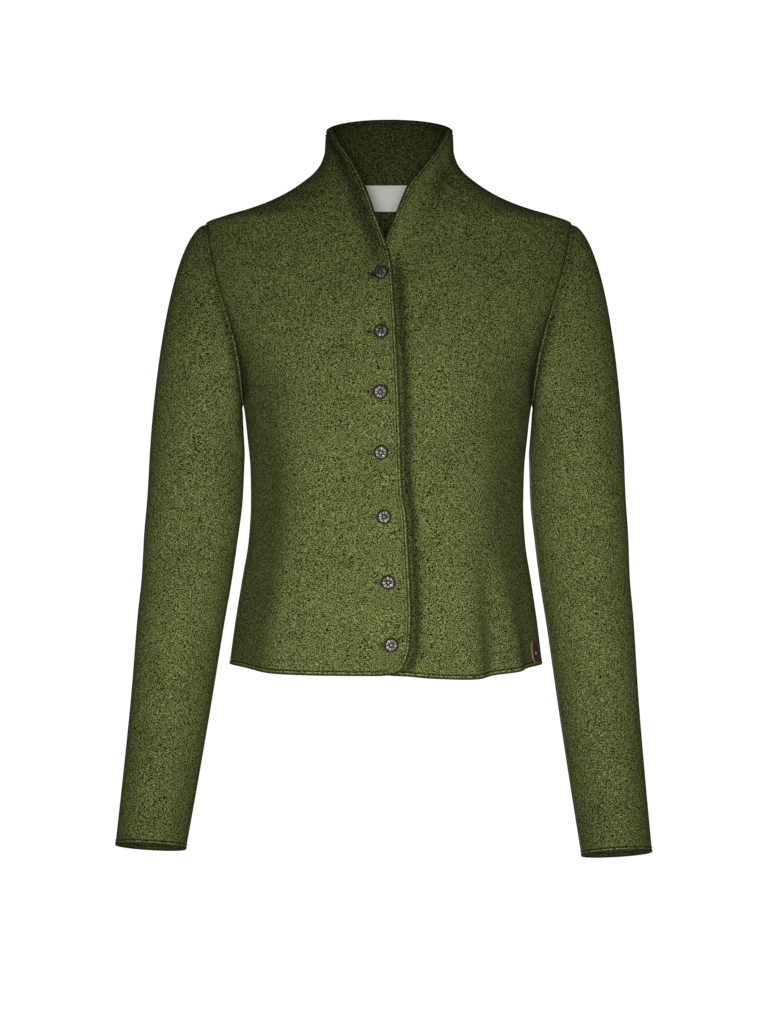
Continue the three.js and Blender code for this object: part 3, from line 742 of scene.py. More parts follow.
def grid_normals(points: Array, closes: bool) -> Array:
    """Return unit normals of a grid, which point out where columns run anticlockwise and rows up.

    Args:
        points: the grid, [row][column].
        closes: the columns go all the way round.

    Returns:
        The normals, one for each point.
    """
    around = np.roll(points, -1, axis=1) - np.roll(points, 1, axis=1)
    if not closes:
        around[:, 0] = points[:, 1] - points[:, 0]
        around[:, -1] = points[:, -1] - points[:, -2]
    return unit(np.cross(around, np.gradient(points, axis=0)))


def run_lengths(points: Array, axis: int) -> Array:
    """Return the distance along a grid's rows or columns, from 0 at the first."""
    steps = np.linalg.norm(np.diff(points, axis=axis), axis=-1)
    start = np.zeros_like(np.take(steps, [0], axis=axis))
    return np.concatenate([start, np.cumsum(steps, axis=axis)], axis=axis)


def groove(distance: Array, depth: float = 1.5, reach: float = 0.7) -> Array:
    """Return how far the outer face sinks beside a binding, at a distance from the cloth's own edge."""
    return depth * bell(np.maximum(0, distance - TUCK) / reach)


@dataclass(frozen=True)
class PaintedShade:
    """Painted shade and highlight on the felt beside edges and seams: 1 is dark, -1 pale."""

    seam_reach: float = 0.75
    ridge: float = 0.4
    ridge_at: float = 1.7
    ridge_reach: float = 0.6
    armhole: float = 0.55
    armhole_foot: float = 0.35
    armhole_reach: float = 5.0
    foot_reach: float = 10.0
    foot_from: float = -110.0
    foot_over: float = 110.0

    def beside_binding(self, distance: Array) -> Array:
        """Return it at a distance from the cloth's edge: painted shade in the seam's groove, painted
        highlight on the ridge beyond.
        """
        past = distance - TUCK
        ridge = self.ridge * bell((past - self.ridge_at) / self.ridge_reach)
        return bell(np.maximum(0, past) / self.seam_reach) - ridge

    def beside_armhole(self, distance: Array, z: Array) -> Array:
        """Return painted shade at a distance from the armhole seam, wider and darker towards its foot, where
        shade falls between sleeve and body.
        """
        low = smooth((self.foot_from - z) / self.foot_over)
        reach = self.armhole_reach + self.foot_reach * low
        return (self.armhole + self.armhole_foot * low) * bell(distance / reach)


PAINTED_SHADE = PaintedShade()


def at_armhole(z: Array) -> Array:
    """Return, as a column, which rows of a panel end at the armhole."""
    return ((z > ARMPIT_Z) & (z < SHOULDER_Z))[:, None]


def edge_spread(count: int, length: float, margin: float = 7.0) -> Array:
    """Return shares from 0 to 1 that crowd towards both ends, where seams roll the cloth in.

    Args:
        count: of the even steps between the crowded ends.
        length: of the run, in millimetres.
        margin: length of each crowded end.

    Returns:
        The shares.
    """
    close = EDGE_STEPS / length
    between = np.linspace(margin / length, 1 - margin / length, count)
    return np.concatenate([close, between, 1 - close[::-1]])


def seam_roll(distance: Array, depth: float = 0.6, reach: float = 2.4) -> Array:
    """Return how far the outer face sinks towards a seam at a distance from it."""
    return depth * bell(distance / reach)


def settle(thing: bpy.types.Object, finish: "Finish", node: str | None = None) -> None:
    """Dress a piece, hang it on the frame's root and hide the solid that it stands for.

    Args:
        thing: the piece.
        finish: of the piece.
        node: the solid, where the piece stands for one.
    """
    finish.dress(thing)
    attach(thing, "root")
    if node is not None:
        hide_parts(node)


class Cloth:
    """A sheet of the garment: a closed wall with its place in the frame and on the flat cloth."""

    def __init__(
        self, thing: bpy.types.Object, node: str, finish: "Finish", flat: tuple[float, float], area: float
    ) -> None:
        """Dress the sheet, hang it on the frame's root and hide the solid that it stands for.

        Args:
            thing: the wall.
            node: the solid that it stands for.
            finish: of the cloth.
            flat: width and length of the smallest rectangle that the flat piece fits in, in metres; not used.
            area: of the flat piece, in square metres; not used.
        """
        self.thing = thing
        settle(thing, finish, node)


class PaintedShadeLine(NamedTuple):
    """A line of painted shade along a front's edge, painted highlight where it is below 0, from a height up.
    """

    at: float
    reach: float
    closed: float
    start: float = -200.0
    over: float = 40.0


# painted shade in a soft valley beside each front's neckline edge; painted highlight where a line is below 0
VALLEY_SHADES = {
    Side.RIGHT: (PaintedShadeLine(9.5, 9, 0.8),),
    Side.LEFT: (PaintedShadeLine(30, 9, 0.3, -70), PaintedShadeLine(12, 9, -0.25)),
}


@dataclass
class FrontPanel:
    """A front: body cloth from the front edge to the side seam and armhole, and the side of the collar."""

    form: BodyForm
    side: Side
    columns: int = 64
    corner_rise: float = 2.8
    collar_clear: float = 0.5
    share_of_last: float = 1 / 11
    calm_edge: float = 25.0
    calm_seam: float = 12.0
    sag_depth: float = 2.8
    sag_reach: float = 5.5
    sag_from: float = -78.0
    sag_over: float = 30.0
    # painted shadow that the right front's edge casts on the left front
    sag_shadow: float = 0.33
    # painted shade on the side below the arm, where the cloth turns from the light
    side_shade: float = 0.35
    side_shade_turn: float = 72.0
    side_shade_spread: float = 22.0
    side_shade_from: float = -130.0
    side_shade_over: float = 90.0
    valley_from: float = -125.0
    valley_over: float = 60.0
    flat: tuple[float, float] = (0.245, 0.56)
    area: float = 0.106

    @property
    def node(self) -> str:
        """Name of the solid."""
        return f"front_{self.side.name.lower()}"

    def angles(self, z: Array) -> Array:
        """Return the angles of the grid's columns at each height, from the front edge to the seam.

        Args:
            z: the row heights.

        Returns:
            The turns, [row][column], from the front edge out.
        """
        clear = self.collar_clear * smooth((z - SHOULDER_Z) / (NECK_Z - SHOULDER_Z))
        start = self.form.edge_angle(self.side, z, BAND_INSET + clear)
        turn = self.side.value * self.form.column_turn(z, False)
        last = self.side.value * self.form.outer_turn(z, False)
        knee = 1 - self.share_of_last
        at_knee = start + (turn - start) * knee
        t = edge_spread(self.columns, length=200.0)
        inner = start[:, None] + (turn - start)[:, None] * t
        outer = at_knee[:, None] + (last - at_knee)[:, None] * (t - knee) / self.share_of_last
        return np.where(t < knee, inner, outer)

    def grid(self) -> tuple[Array, Array, Array, Array]:
        """Work out the wall's two faces.

        Returns:
            The outer points, the inner points, the flat places and the painted shade and highlight.
        """
        z = panel_heights(True)
        angle = self.angles(z)
        height = z[:, None] + hem_rise(angle) * hem_fade(z)[:, None]
        height[0] += self.corner_rise * bell(np.arange(angle.shape[1]) / 2.0)
        surface = self.form.point(angle, height)
        normal = self.form.normal(angle, height)
        drop = self.form.lap_drop(surface) if self.side is Side.LEFT else 0.0 * height
        bumps = crease_sum(BODY_CREASES, np.degrees(angle), height, BODY_RADIUS)
        to_edge = run_lengths(surface, 1)
        to_seam = to_edge[:, -1:] - to_edge
        bumps = bumps * smooth(to_edge / self.calm_edge) * smooth(to_seam / self.calm_seam)
        up = np.broadcast_to((z - z[0])[:, None], to_edge.shape)
        bound_edges = (to_edge, up, up[-1] - up)
        roll = self.seam(to_seam, z) + np.maximum.reduce([groove(far) for far in bound_edges])
        # painted shade in the seams beside the bindings and painted highlight on the ridges beyond them, then
        # painted shade along the armhole seam, beside the neckline's edge and on the side below the arm
        painted_shades = np.stack([PAINTED_SHADE.beside_binding(far) for far in bound_edges])
        painted_shade_and_edge_tone = np.where(painted_shades.max(axis=0) > 0, painted_shades.max(axis=0), painted_shades.min(axis=0))
        painted_shade_and_edge_tone = painted_shade_and_edge_tone + PAINTED_SHADE.beside_armhole(to_seam, height) * at_armhole(z) + self.valley(to_edge, height)
        painted_shade_and_edge_tone = painted_shade_and_edge_tone + self.painted_side_shade(angle, height)
        if self.side is Side.LEFT:
            bumps = bumps - self.sag(surface)
            # painted shadow beside the right front's edge, which stands off the left front
            painted_shade_and_edge_tone = painted_shade_and_edge_tone + self.sag_shadow * self.sag(surface)
        outer = surface + normal * (bumps - drop - roll)[..., None]
        inner = surface + normal * (bumps - drop - WALL)[..., None]
        is_side_seam = (z <= ARMPIT_Z) | (z >= SHOULDER_Z)
        for face in (outer, inner):
            face[is_side_seam, -1, 1] = -SEAM
        uv = np.stack([to_seam * -self.side.value, np.broadcast_to(height, to_edge.shape)], axis=-1)
        return outer, inner, uv, np.clip(painted_shade_and_edge_tone, -1, 1)

    def painted_side_shade(self, angle: Array, z: Array) -> Array:
        """Return the painted shade on the side below the arm, where the cloth turns away from the light."""
        turn = np.degrees(np.abs(angle))
        low = smooth((self.side_shade_from - z) / self.side_shade_over)
        return self.side_shade * bell((turn - self.side_shade_turn) / self.side_shade_spread) * low

    def seam(self, distance: Array, z: Array) -> Array:
        """Return how far the cloth rolls in at its outer seam, most along the armhole."""
        return np.where(at_armhole(z), seam_roll(distance, depth=1.3, reach=3.4), seam_roll(distance))

    def valley(self, distance: Array, z: Array) -> Array:
        """Return the painted shade of the soft valley that runs beside the neckline's edge, with painted
        highlight where a line is below 0.

        Args:
            distance: from the front edge.
            z: height.

        Returns:
            The painted shade there, below 0 for painted highlight.
        """
        lines = (
            line.closed * bell((distance - line.at) / line.reach) * smooth((z - line.start) / line.over)
            for line in VALLEY_SHADES[self.side]
        )
        return smooth((z - self.valley_from) / self.valley_over) * sum(lines)

    def sag(self, points: Array) -> Array:
        """Return how far the left front falls away beside the right front's edge, which stands off it."""
        z = points[..., 2]
        past = points[..., 0] - self.form.lean(z) - self.form.edges[Side.RIGHT](z)
        low = smooth((self.sag_from - z) / self.sag_over)
        return self.sag_depth * bell((past - self.sag_reach) / self.sag_reach) * low

    def build(self, finish: "Finish") -> Cloth:
        """Make the front.

        Args:
            finish: of the cloth.

        Returns:
            The cloth.
        """
        outer, inner, uv, painted_shade_and_edge_tone = self.grid()
        wall = wall_object(self.node, outer, inner, uv, is_mirrored=self.side is Side.RIGHT, closed=painted_shade_and_edge_tone)
        return Cloth(wall, self.node, finish, self.flat, self.area)


@dataclass
class BackPanel:
    """The back: one piece from side seam to side seam, up to the neck seam."""

    form: BodyForm
    columns: int = 110
    share_of_last: float = 1 / 18
    calm_seam: float = 12.0
    flat: tuple[float, float] = (0.40, 0.52)
    area: float = 0.202

    def angles(self, z: Array) -> Array:
        """Return the angles of the columns at each height, from the left seam round to the right one.

        Args:
            z: the row heights.

        Returns:
            The turns, [row][column].
        """
        turn = self.form.column_turn(z, True)[:, None]
        last = self.form.outer_turn(z, True)[:, None]
        t = edge_spread(self.columns, length=400.0)
        shared = turn + (2 * math.pi - 2 * turn) * t
        low, high = self.share_of_last, 1 - self.share_of_last
        at_low = turn + (2 * math.pi - 2 * turn) * low
        at_high = 2 * math.pi - at_low
        start = last + (at_low - last) * t / low
        end = at_high + (2 * math.pi - last - at_high) * (t - high) / low
        return np.where(t < low, start, np.where(t > high, end, shared))

    def build(self, finish: "Finish") -> Cloth:
        """Make the back.

        Args:
            finish: of the cloth.

        Returns:
            The cloth.
        """
        z = panel_heights(False)
        turn = self.angles(z)
        angle = wrapped(turn)
        height = z[:, None] + hem_rise(angle) * hem_fade(z)[:, None]
        surface = self.form.point(angle, height)
        normal = self.form.normal(angle, height)
        bumps = crease_sum(BODY_CREASES, np.degrees(turn), height, BODY_RADIUS)
        across, up = run_lengths(surface, 1), run_lengths(surface, 0)
        to_seam = np.minimum(across, across[:, -1:] - across)
        to_neck = up[-1] - up
        bumps = bumps * smooth(to_seam / self.calm_seam)
        roll = seam_roll(to_seam) + seam_roll(to_neck, depth=0.7, reach=2.0) + groove((z - z[0])[:, None])
        outer = surface + normal * (bumps - roll)[..., None]
        inner = surface + normal * (bumps - WALL)[..., None]
        is_side_seam = (z <= ARMPIT_Z) | (z >= SHOULDER_Z)
        for face in (outer, inner):
            face[np.ix_(is_side_seam, [0, -1], [1])] = SEAM
        centre = across - across[:, -1:] / 2
        uv = np.stack([centre, np.broadcast_to(height, across.shape)], axis=-1)
        # painted shade in the seam beside the hem's binding, painted highlight on the ridge beyond, painted
        # shade along the armhole seam
        painted_shade_and_edge_tone = PAINTED_SHADE.beside_binding((z - z[0])[:, None])
        painted_shade_and_edge_tone = painted_shade_and_edge_tone + PAINTED_SHADE.beside_armhole(to_seam, height) * at_armhole(z)
        return Cloth(wall_object("back", outer, inner, uv, closed=painted_shade_and_edge_tone), "back", finish, self.flat, self.area)


@dataclass
class BackCollar:
    """The back of the stand collar, sewn to the back at the neck and to the fronts at its sides."""

    form: BodyForm
    columns: int = 72
    rows: int = 22
    flat: tuple[float, float] = (0.21, 0.057)
    area: float = 0.0115

    def inset(self, angle: Array) -> Array:
        """Return the binding's width measured straight down, where the top edge climbs."""
        a, b = angle - 0.05, angle + 0.05
        way = self.form.point(wrapped(b), COLLAR_SIDE_Z) - self.form.point(wrapped(a), COLLAR_SIDE_Z)
        return BAND_INSET * np.hypot(1, (collar_top(b) - collar_top(a)) / np.linalg.norm(way, axis=-1))

    def build(self, finish: "Finish") -> Cloth:
        """Make the collar's back.

        Args:
            finish: of the cloth.

        Returns:
            The cloth.
        """
        turn = math.pi / 2 + math.pi * edge_spread(self.columns, length=160.0)
        low = NECK_Z + SEAM
        top = collar_top(turn) - self.inset(turn)
        share = edge_spread(self.rows, length=40.0)[:, None]
        height = low + (top - low) * share
        angle = np.broadcast_to(wrapped(turn), height.shape)
        surface = self.form.point(angle, height)
        normal = self.form.normal(angle, height)
        across = run_lengths(surface, 1)
        to_seam = np.minimum(across, across[:, -1:] - across)
        roll = seam_roll(to_seam) + seam_roll(height - low, depth=0.7, reach=2.0) + groove(top - height)
        outer = surface - normal * roll[..., None]
        inner = surface - normal * WALL
        for face in (outer, inner):
            face[:, [0, -1], 1] = SEAM
        uv = np.stack([across - across[:, -1:] / 2, height], axis=-1)
        # painted shade beside the top binding's seam, painted highlight on the ridge beyond
        wall = wall_object("collar_back", outer, inner, uv, closed=PAINTED_SHADE.beside_binding(top - height))
        return Cloth(wall, "collar_back", finish, self.flat, self.area)


@dataclass
class Sleeve:
    """A set-in sleeve: a tube from the cuff to its head, which meets the armhole."""

    form: BodyForm
    side: Side
    cuff_z: float
    tube_rows: int = 84
    head_rows: int = 44
    round_steps: int = 120
    under_seam_turn: int = 175
    seam_fade: float = 4.0
    calm_end: float = 14.0
    top_z: float = -290.0
    head_pull: float = 0.52
    tilt_forward: float = 0.19
    tilt_outward: float = 0.055
    climb: tuple[float, float] = (20, 60)
    elbow: tuple[tuple[float, float, float], ...] = ((-352, 2.6, 11), (-381, 3.4, 12), (-412, 2.4, 11))
    flat: tuple[float, float] = (0.35, 0.66)
    area: float = 0.162
    rings: dict[str, SmoothCurve] = field(init=False)
    head_ends: Array = field(default_factory=lambda: np.array([0.045, 0.032, 0.021, 0.012, 0.005, 0.0]))

    def __post_init__(self) -> None:
        """Make the curves of the table."""
        self.rings = {c: SmoothCurve(SLEEVE_RINGS, c) for c in ("inner", "outer", "back", "deep")}

    @property
    def node(self) -> str:
        """Name of the solid."""
        return f"sleeve_{self.side.name.lower()}"

    @property
    def cuff_start(self) -> float:
        """Share of the tube where the cloth ends above its binding."""
        return BAND_INSET / (self.top_z + 688)

    def ring(self, t: Array, turn: Array) -> Array:
        """Return points of the tube.

        Args:
            t: 0 at the top ring and 1 at the cuff.
            turn: angle round, 0 at the outside and a quarter turn at the front.

        Returns:
            The points.
        """
        z = self.top_z + (self.cuff_z - self.top_z) * t
        level = self.top_z + (SLEEVE_RINGS[-1].z - self.top_z) * t
        inner, outer = self.rings["inner"](level), self.rings["outer"](level)
        out, front = np.cos(turn), np.sin(turn)
        deep = self.rings["deep"](level) + 0 * turn
        for at, depth, spread in self.elbow:
            deep = deep - depth * bell((level - at) / spread) * np.maximum(0, front)
        half = (outer - inner) / 2
        rise = smooth(t * 3) * (self.tilt_forward * deep * front + self.tilt_outward * half * out)
        x = self.side.value * ((inner + outer) / 2 + half * out) + self.form.lean(z)
        return np.stack(np.broadcast_arrays(x, self.rings["back"](level) - deep * front, z + rise), axis=-1)

    def armhole_point(self, turn: Array) -> Array:
        """Return the points of the armhole's outer edge that the sleeve is sewn to.

        Args:
            turn: round the sleeve.

        Returns:
            The points.
        """
        share = turn / math.pi * ARM_STEPS
        is_back = share > ARM_STEPS
        z = armhole_height(np.where(is_back, share - ARM_STEPS, ARM_STEPS - share))
        angle = np.where(is_back, self.form.outer_turn(z, True), self.form.outer_turn(z, False))
        points = self.form.point(self.side.value * angle, z)
        at_end = (z <= ARMPIT_Z + 1e-6) | (z >= SHOULDER_Z - 1e-6)
        points[at_end, 1] = np.where(is_back[at_end], SEAM, -SEAM)
        points[:, 0] += self.side.value * SEAM
        return points

    def surface(self, v: Array, turn: Array) -> Array:
        """Return the outer face.

        Args:
            v: rows, 0 at the cuff, 1 at the top ring and 2 at the armhole.
            turn: round the sleeve.

        Returns:
            The points, [row][column].
        """
        tube = self.ring(1 - np.minimum(v, 1.0)[:, None], turn[None, :])
        t = np.maximum(v - 1, 0.0)[:, None, None]
        start = self.ring(np.zeros((1, 1)), turn[None, :])
        end = self.armhole_point(turn)[None]
        under = (1 - np.cos(turn)) / 2
        climb = np.radians(self.climb[0] + self.climb[1] * under)
        pull = self.head_pull * np.linalg.norm(end - start, axis=-1)[..., None]
        leave = np.array([-0.05 * self.side.value, 0, 1]) * pull
        arrive = np.stack([-self.side.value * np.cos(climb), 0 * climb, np.sin(climb)], axis=-1)[None] * pull
        head = (
            start * (2 * t**3 - 3 * t**2 + 1)
            + leave * (t**3 - 2 * t**2 + t)
            + end * (3 * t**2 - 2 * t**3)
            + arrive * (t**3 - t**2)
        )
        return np.where(v[:, None, None] <= 1, tube, head)

    def grid(self) -> tuple[Array, Array, Array, Array]:
        """Work out the wall's two faces.

        Returns:
            The outer points, the inner points, the flat places and the painted shade and highlight.
        """
        turn = np.arange(self.round_steps) * 2 * math.pi / self.round_steps
        close = self.cuff_start + EDGE_STEPS / (self.top_z - self.cuff_z)
        low = np.concatenate([close, np.linspace(close[-1] + 0.01, 1, self.tube_rows, endpoint=False)])
        high = np.concatenate([np.linspace(1, 1.94, self.head_rows), 2.0 - self.head_ends])
        surface = self.surface(np.concatenate([low, high]), turn)
        normal = grid_normals(surface, True) * -self.side.value
        up = run_lengths(surface, 0)
        to_armhole = up[-1] - up
        round_way = np.degrees(turn)[None, :]
        height = surface[..., 2]
        bumps = crease_sum(SLEEVE_CREASES, np.broadcast_to(round_way, height.shape), height, SLEEVE_RADIUS)
        around = run_lengths(surface, 1)
        from_seam = np.abs(around - around[:, [self.round_steps * self.under_seam_turn // 360]])
        under_seam = seam_roll(from_seam, depth=0.8, reach=2.2) * smooth(to_armhole / self.seam_fade)
        bumps = bumps * smooth(to_armhole / self.calm_end) * smooth(up / self.calm_end)
        roll = under_seam + seam_roll(to_armhole, depth=1.4, reach=4.5) + groove(up)
        outer = surface + normal * (bumps - roll)[..., None]
        inner = surface + normal * (bumps - WALL)[..., None]
        uv = np.stack([np.broadcast_to(round_way * SLEEVE_RADIUS * math.pi / 180, height.shape), up], axis=-1)
        # painted shade beside the cuff's binding and along the armhole seam, painted highlight on the ridge
        # beyond the binding
        return outer, inner, uv, PAINTED_SHADE.beside_binding(up) + PAINTED_SHADE.beside_armhole(to_armhole, height)

    def allowance(self, finish: "Finish") -> None:
        """Make the armhole's seam allowances, which stand inwards from the seam and close it to light.

        Args:
            finish: of the cloth.
        """
        turn = np.arange(self.round_steps) * 2 * math.pi / self.round_steps
        rows = self.surface(np.array([1.97, 2.0]), turn)
        middle = rows[1] - [self.side.value * SEAM, 0, 0]
        tangent = unit(np.roll(middle, -1, axis=0) - np.roll(middle, 1, axis=0))
        off_sleeve = unit(np.cross(tangent, rows[1] - rows[0])) * -self.side.value
        centre = middle.mean(axis=0)
        off_panel = unit((middle - centre) * [0, 1, 1])
        inward = -unit(off_sleeve + off_panel)
        aside = unit(np.cross(tangent, inward))
        corners = [(-0.8, 0.8), (-0.9, 7.0), (-0.5, 8.0), (0.5, 8.0), (0.9, 7.0), (0.8, 0.8)]  # aside, inward
        rings = np.stack([middle + aside * a + inward * d for a, d in corners], axis=1)
        numbers = grid_numbers(rings)
        faces = grid_faces(np.concatenate([numbers, numbers[:1]]), True)
        points = rings.reshape(-1, 3)
        strip = make_object(f"{self.node}_allowance", points, faces, points[:, 1:])
        turn_outwards(strip)
        settle(strip, finish)

    def build(self, finish: "Finish") -> Cloth:
        """Make the sleeve.

        Args:
            finish: of the cloth.

        Returns:
            The cloth.
        """
        self.allowance(finish)
        outer, inner, uv, painted_shade_and_edge_tone = self.grid()
        clockwise = self.side is Side.LEFT
        wall = wall_object(self.node, outer, inner, uv, is_tube=True, is_mirrored=clockwise, closed=painted_shade_and_edge_tone)
        return Cloth(wall, self.node, finish, self.flat, self.area)


# ------------------------------------------------------------------ bindings and stitching
class Track(NamedTuple):
    """A line on the cloth, with the way out of its edge, off the cloth and along it at each point."""

    at: Array
    out: Array
    normal: Array
    tangent: Array


def track_on_body(
    form: BodyForm, angle: Array, z: Array, inside: int, drops: bool, spacing: float = 1.8, rounds: int = 8
) -> Track:
    """Lay an even, slightly rounded line on the body through given angles and heights.

    Args:
        form: the body.
        angle: of the line's points.
        z: height of the line's points.
        inside: 1 where the cloth lies on the left of the way along, else -1.
        drops: the line follows the left front, which lies lower.
        spacing: of the new points.
        rounds: of smoothing, which round the corners.

    Returns:
        The track.
    """
    coarse = form.point(wrapped(angle), z)
    far = np.concatenate([[0], np.cumsum(np.linalg.norm(np.diff(coarse, axis=0), axis=-1))])
    even = np.linspace(0, far[-1], int(far[-1] / spacing))
    line = np.stack([np.interp(even, far, angle), np.interp(even, far, z)])
    for _ in range(rounds):
        line[:, 1:-1] = 0.25 * line[:, :-2] + 0.5 * line[:, 1:-1] + 0.25 * line[:, 2:]
    at = form.point(wrapped(line[0]), line[1])
    normal = form.normal(wrapped(line[0]), line[1])
    if drops:
        at = at - normal * form.lap_drop(at)[:, None]
    tangent = unit(np.gradient(at, axis=0))
    out = unit(np.cross(tangent, normal)) * inside
    return Track(at, out, normal, tangent)


def band_section() -> Array:
    """Return the binding's cross-section as rows of (out, lift): a folded strip with a rounded edge.

    Returns:
        The rows, from the inner edge over the nose to the reverse.
    """
    proud = (BAND_THICK - WALL) / 2
    top, foot = proud, -WALL - proud
    middle, half = (top + foot) / 2, (top - foot) / 2
    nose = np.radians(np.linspace(90, -90, 11))
    edge = np.stack([BAND_NOSE * (np.cos(nose) - 1), middle + half * np.sin(nose)], axis=-1)
    folded_under = [(0.15, -1.5), (0.0, -0.7), (0.25, -0.2), (0.8, 0.0)]  # from the inner edge, from the top
    upper = [[out - BAND_WIDTH, top + lift] for out, lift in folded_under]
    upper += [[-2.6, top + 0.1], [-1.9, top + 0.1]]
    lower = [[out, middle * 2 - lift] for out, lift in reversed(upper)]
    return np.concatenate([upper, edge, lower])


def swept_band(name: str, track: Track, closes: bool, end_y: float | None) -> bpy.types.Object:
    """Sweep the binding's section along a track.

    Args:
        name: of the object.
        track: the outline that the binding covers.
        closes: the track is a loop.
        end_y: the plane of the side seam that both ends stop at, on an open track.

    Returns:
        The object.
    """
    section = band_section()
    out, lift = section[:, 0], section[:, 1]
    rings = track.at[:, None] + out[:, None] * track.out[:, None] + lift[:, None] * track.normal[:, None]
    if end_y is not None:
        rings[[0, -1], :, 1] = end_y
    size = len(section)
    numbers = grid_numbers(rings)
    if closes:
        numbers = np.concatenate([numbers, numbers[:1]])
    faces = grid_faces(numbers, True)
    lengths = np.cumsum(np.linalg.norm(np.diff(section, axis=0, prepend=section[:1]), axis=-1))
    along = np.cumsum(np.linalg.norm(np.diff(track.at, axis=0, prepend=track.at[:1]), axis=-1))
    uv = np.stack(np.broadcast_arrays(lengths[None, :], along[:, None]), axis=-1).reshape(-1, 2)
    if not closes:
        half = size // 2
        for ring in (numbers[0], numbers[-1]):
            back = ring[::-1]
            end = np.stack([ring[: half - 1], ring[1:half], back[1:half], back[: half - 1]], axis=-1)
            faces = np.concatenate([faces, end])
    thing = make_object(name, rings.reshape(-1, 3), faces, uv)
    turn_outwards(thing)
    # painted shade over the rounded nose, where it turns from the light, and in the seam along the inner
    # edge; more painted shade on the inside face
    dark = smooth((out + BAND_NOSE_SHADE) / BAND_NOSE_SHADE_FADE) + bell((out + BAND_WIDTH) / BAND_SEAM_SHADE_REACH)
    dark = dark + BAND_REVERSE_SHADE * (lift < -WALL)
    set_tone_and_painted_shade(thing, np.broadcast_to(np.clip(dark, 0.0, 1.0), rings.shape[:2]))
    return thing


def turn_outwards(thing: bpy.types.Object) -> None:
    """Point every face of a closed mesh out.

    Args:
        thing: the piece, whose mesh is mended in place.
    """
    work = bmesh.new()
    work.from_mesh(thing.data)
    bmesh.ops.recalc_face_normals(work, faces=work.faces)
    work.to_mesh(thing.data)
    work.free()


def stitch_mesh(
    centre: Array, along: Array, up: Array, length: float, radius: float, arch: float, sides: int = 6
) -> tuple[Array, Array]:
    """Make many stitches, each a short thread that rises out of the cloth and dips back.

    Args:
        centre: middle of each stitch.
        along: unit direction of each.
        up: unit normal of the cloth at each.
        length: of a stitch.
        radius: of the thread.
        arch: how far the ends dip below the middle.
        sides: of the thread's section.

    Returns:
        The points and the quads.
    """
    share = np.array([-1.0, -0.92, -0.6, 0.0, 0.6, 0.92, 1.0])
    thick = np.array([0.08, 0.6, 0.95, 1.0, 0.95, 0.6, 0.08]) * radius
    turn = np.arange(sides) * 2 * math.pi / sides
    aside = np.cross(along, up)
    spine = centre[:, None] + along[:, None] * (share * length / 2)[None, :, None]
    spine = spine - up[:, None] * (arch * share**2)[None, :, None]
    cosine, sine = (wave(turn)[None, None, :, None] for wave in (np.cos, np.sin))
    ring = aside[:, None, None] * cosine + up[:, None, None] * sine
    points = spine[:, :, None] + ring * thick[None, :, None, None]
    one = grid_faces(np.arange(len(share) * sides).reshape(len(share), sides), True)
    faces = one[None] + (np.arange(len(centre)) * len(share) * sides)[:, None, None]
    return points.reshape(-1, 3), faces.reshape(-1, 4)


def spread_along(rows: Array, far: Array, at: Array) -> Array:
    """Return rows of (x, y, z), known at the distances far, read off at other distances."""
    return np.stack([np.interp(at, far, rows[:, axis]) for axis in range(3)], axis=-1)


@dataclass
class Topstitch:
    """A line of machine stitches beside a binding, through the cloth and seen on both faces."""

    pitch: float = 3.4
    length: float = 2.0
    radius: float = 0.5
    inset: float = 5.3
    front_inset: float = 6.8
    arch: float = 0.35
    lift: float = 0.22
    margin: float = 2.5
    stray: float = 0.1
    slant: float = 0.05
    seed: int = 7

    def along(self, track: Track, closes: bool = False) -> list[tuple[Array, Array]]:
        """Return the points and quads of the stitches on both faces along a track.

        Args:
            track: the edge that the line follows.
            closes: the track is a loop.

        Returns:
            Points and quads, outside and inside.
        """
        rng = np.random.default_rng(self.seed)
        rise = smooth((track.at[:, 2] - HEM_Z) / 40) * (not closes)
        line = track.at - track.out * (self.inset + (self.front_inset - self.inset) * rise)[:, None]
        far = np.concatenate([[0], np.cumsum(np.linalg.norm(np.diff(line, axis=0), axis=-1))])
        margin = 0.0 if closes else self.margin
        count = int((far[-1] - 2 * margin) / self.pitch)
        at = margin + (np.arange(count) + 0.5) * (far[-1] - 2 * margin) / count
        at = at + rng.normal(0, self.stray, count)
        middle = spread_along(line, far, at)
        normal, tangent = (unit(spread_along(rows, far, at)) for rows in (track.normal, track.tangent))
        tangent = unit(tangent + np.cross(normal, tangent) * rng.normal(0, self.slant, (count, 1)))
        faces = ((self.lift, normal), (-WALL - self.lift, -normal))
        sizes = (self.length, self.radius, self.arch)
        return [stitch_mesh(middle + normal * lift, tangent, up, *sizes) for lift, up in faces]


def joined(name: str, parts: Sequence[tuple[Array, Array]]) -> bpy.types.Object:
    """Join meshes of quads in one object.

    Args:
        name: of the object.
        parts: points and quads of each mesh.

    Returns:
        The object.
    """
    points, faces, start = [], [], 0
    for some_points, some_faces in parts:
        points.append(some_points)
        faces.append(some_faces + start)
        start += len(some_points)
    return make_object(name, np.concatenate(points), np.concatenate(faces))


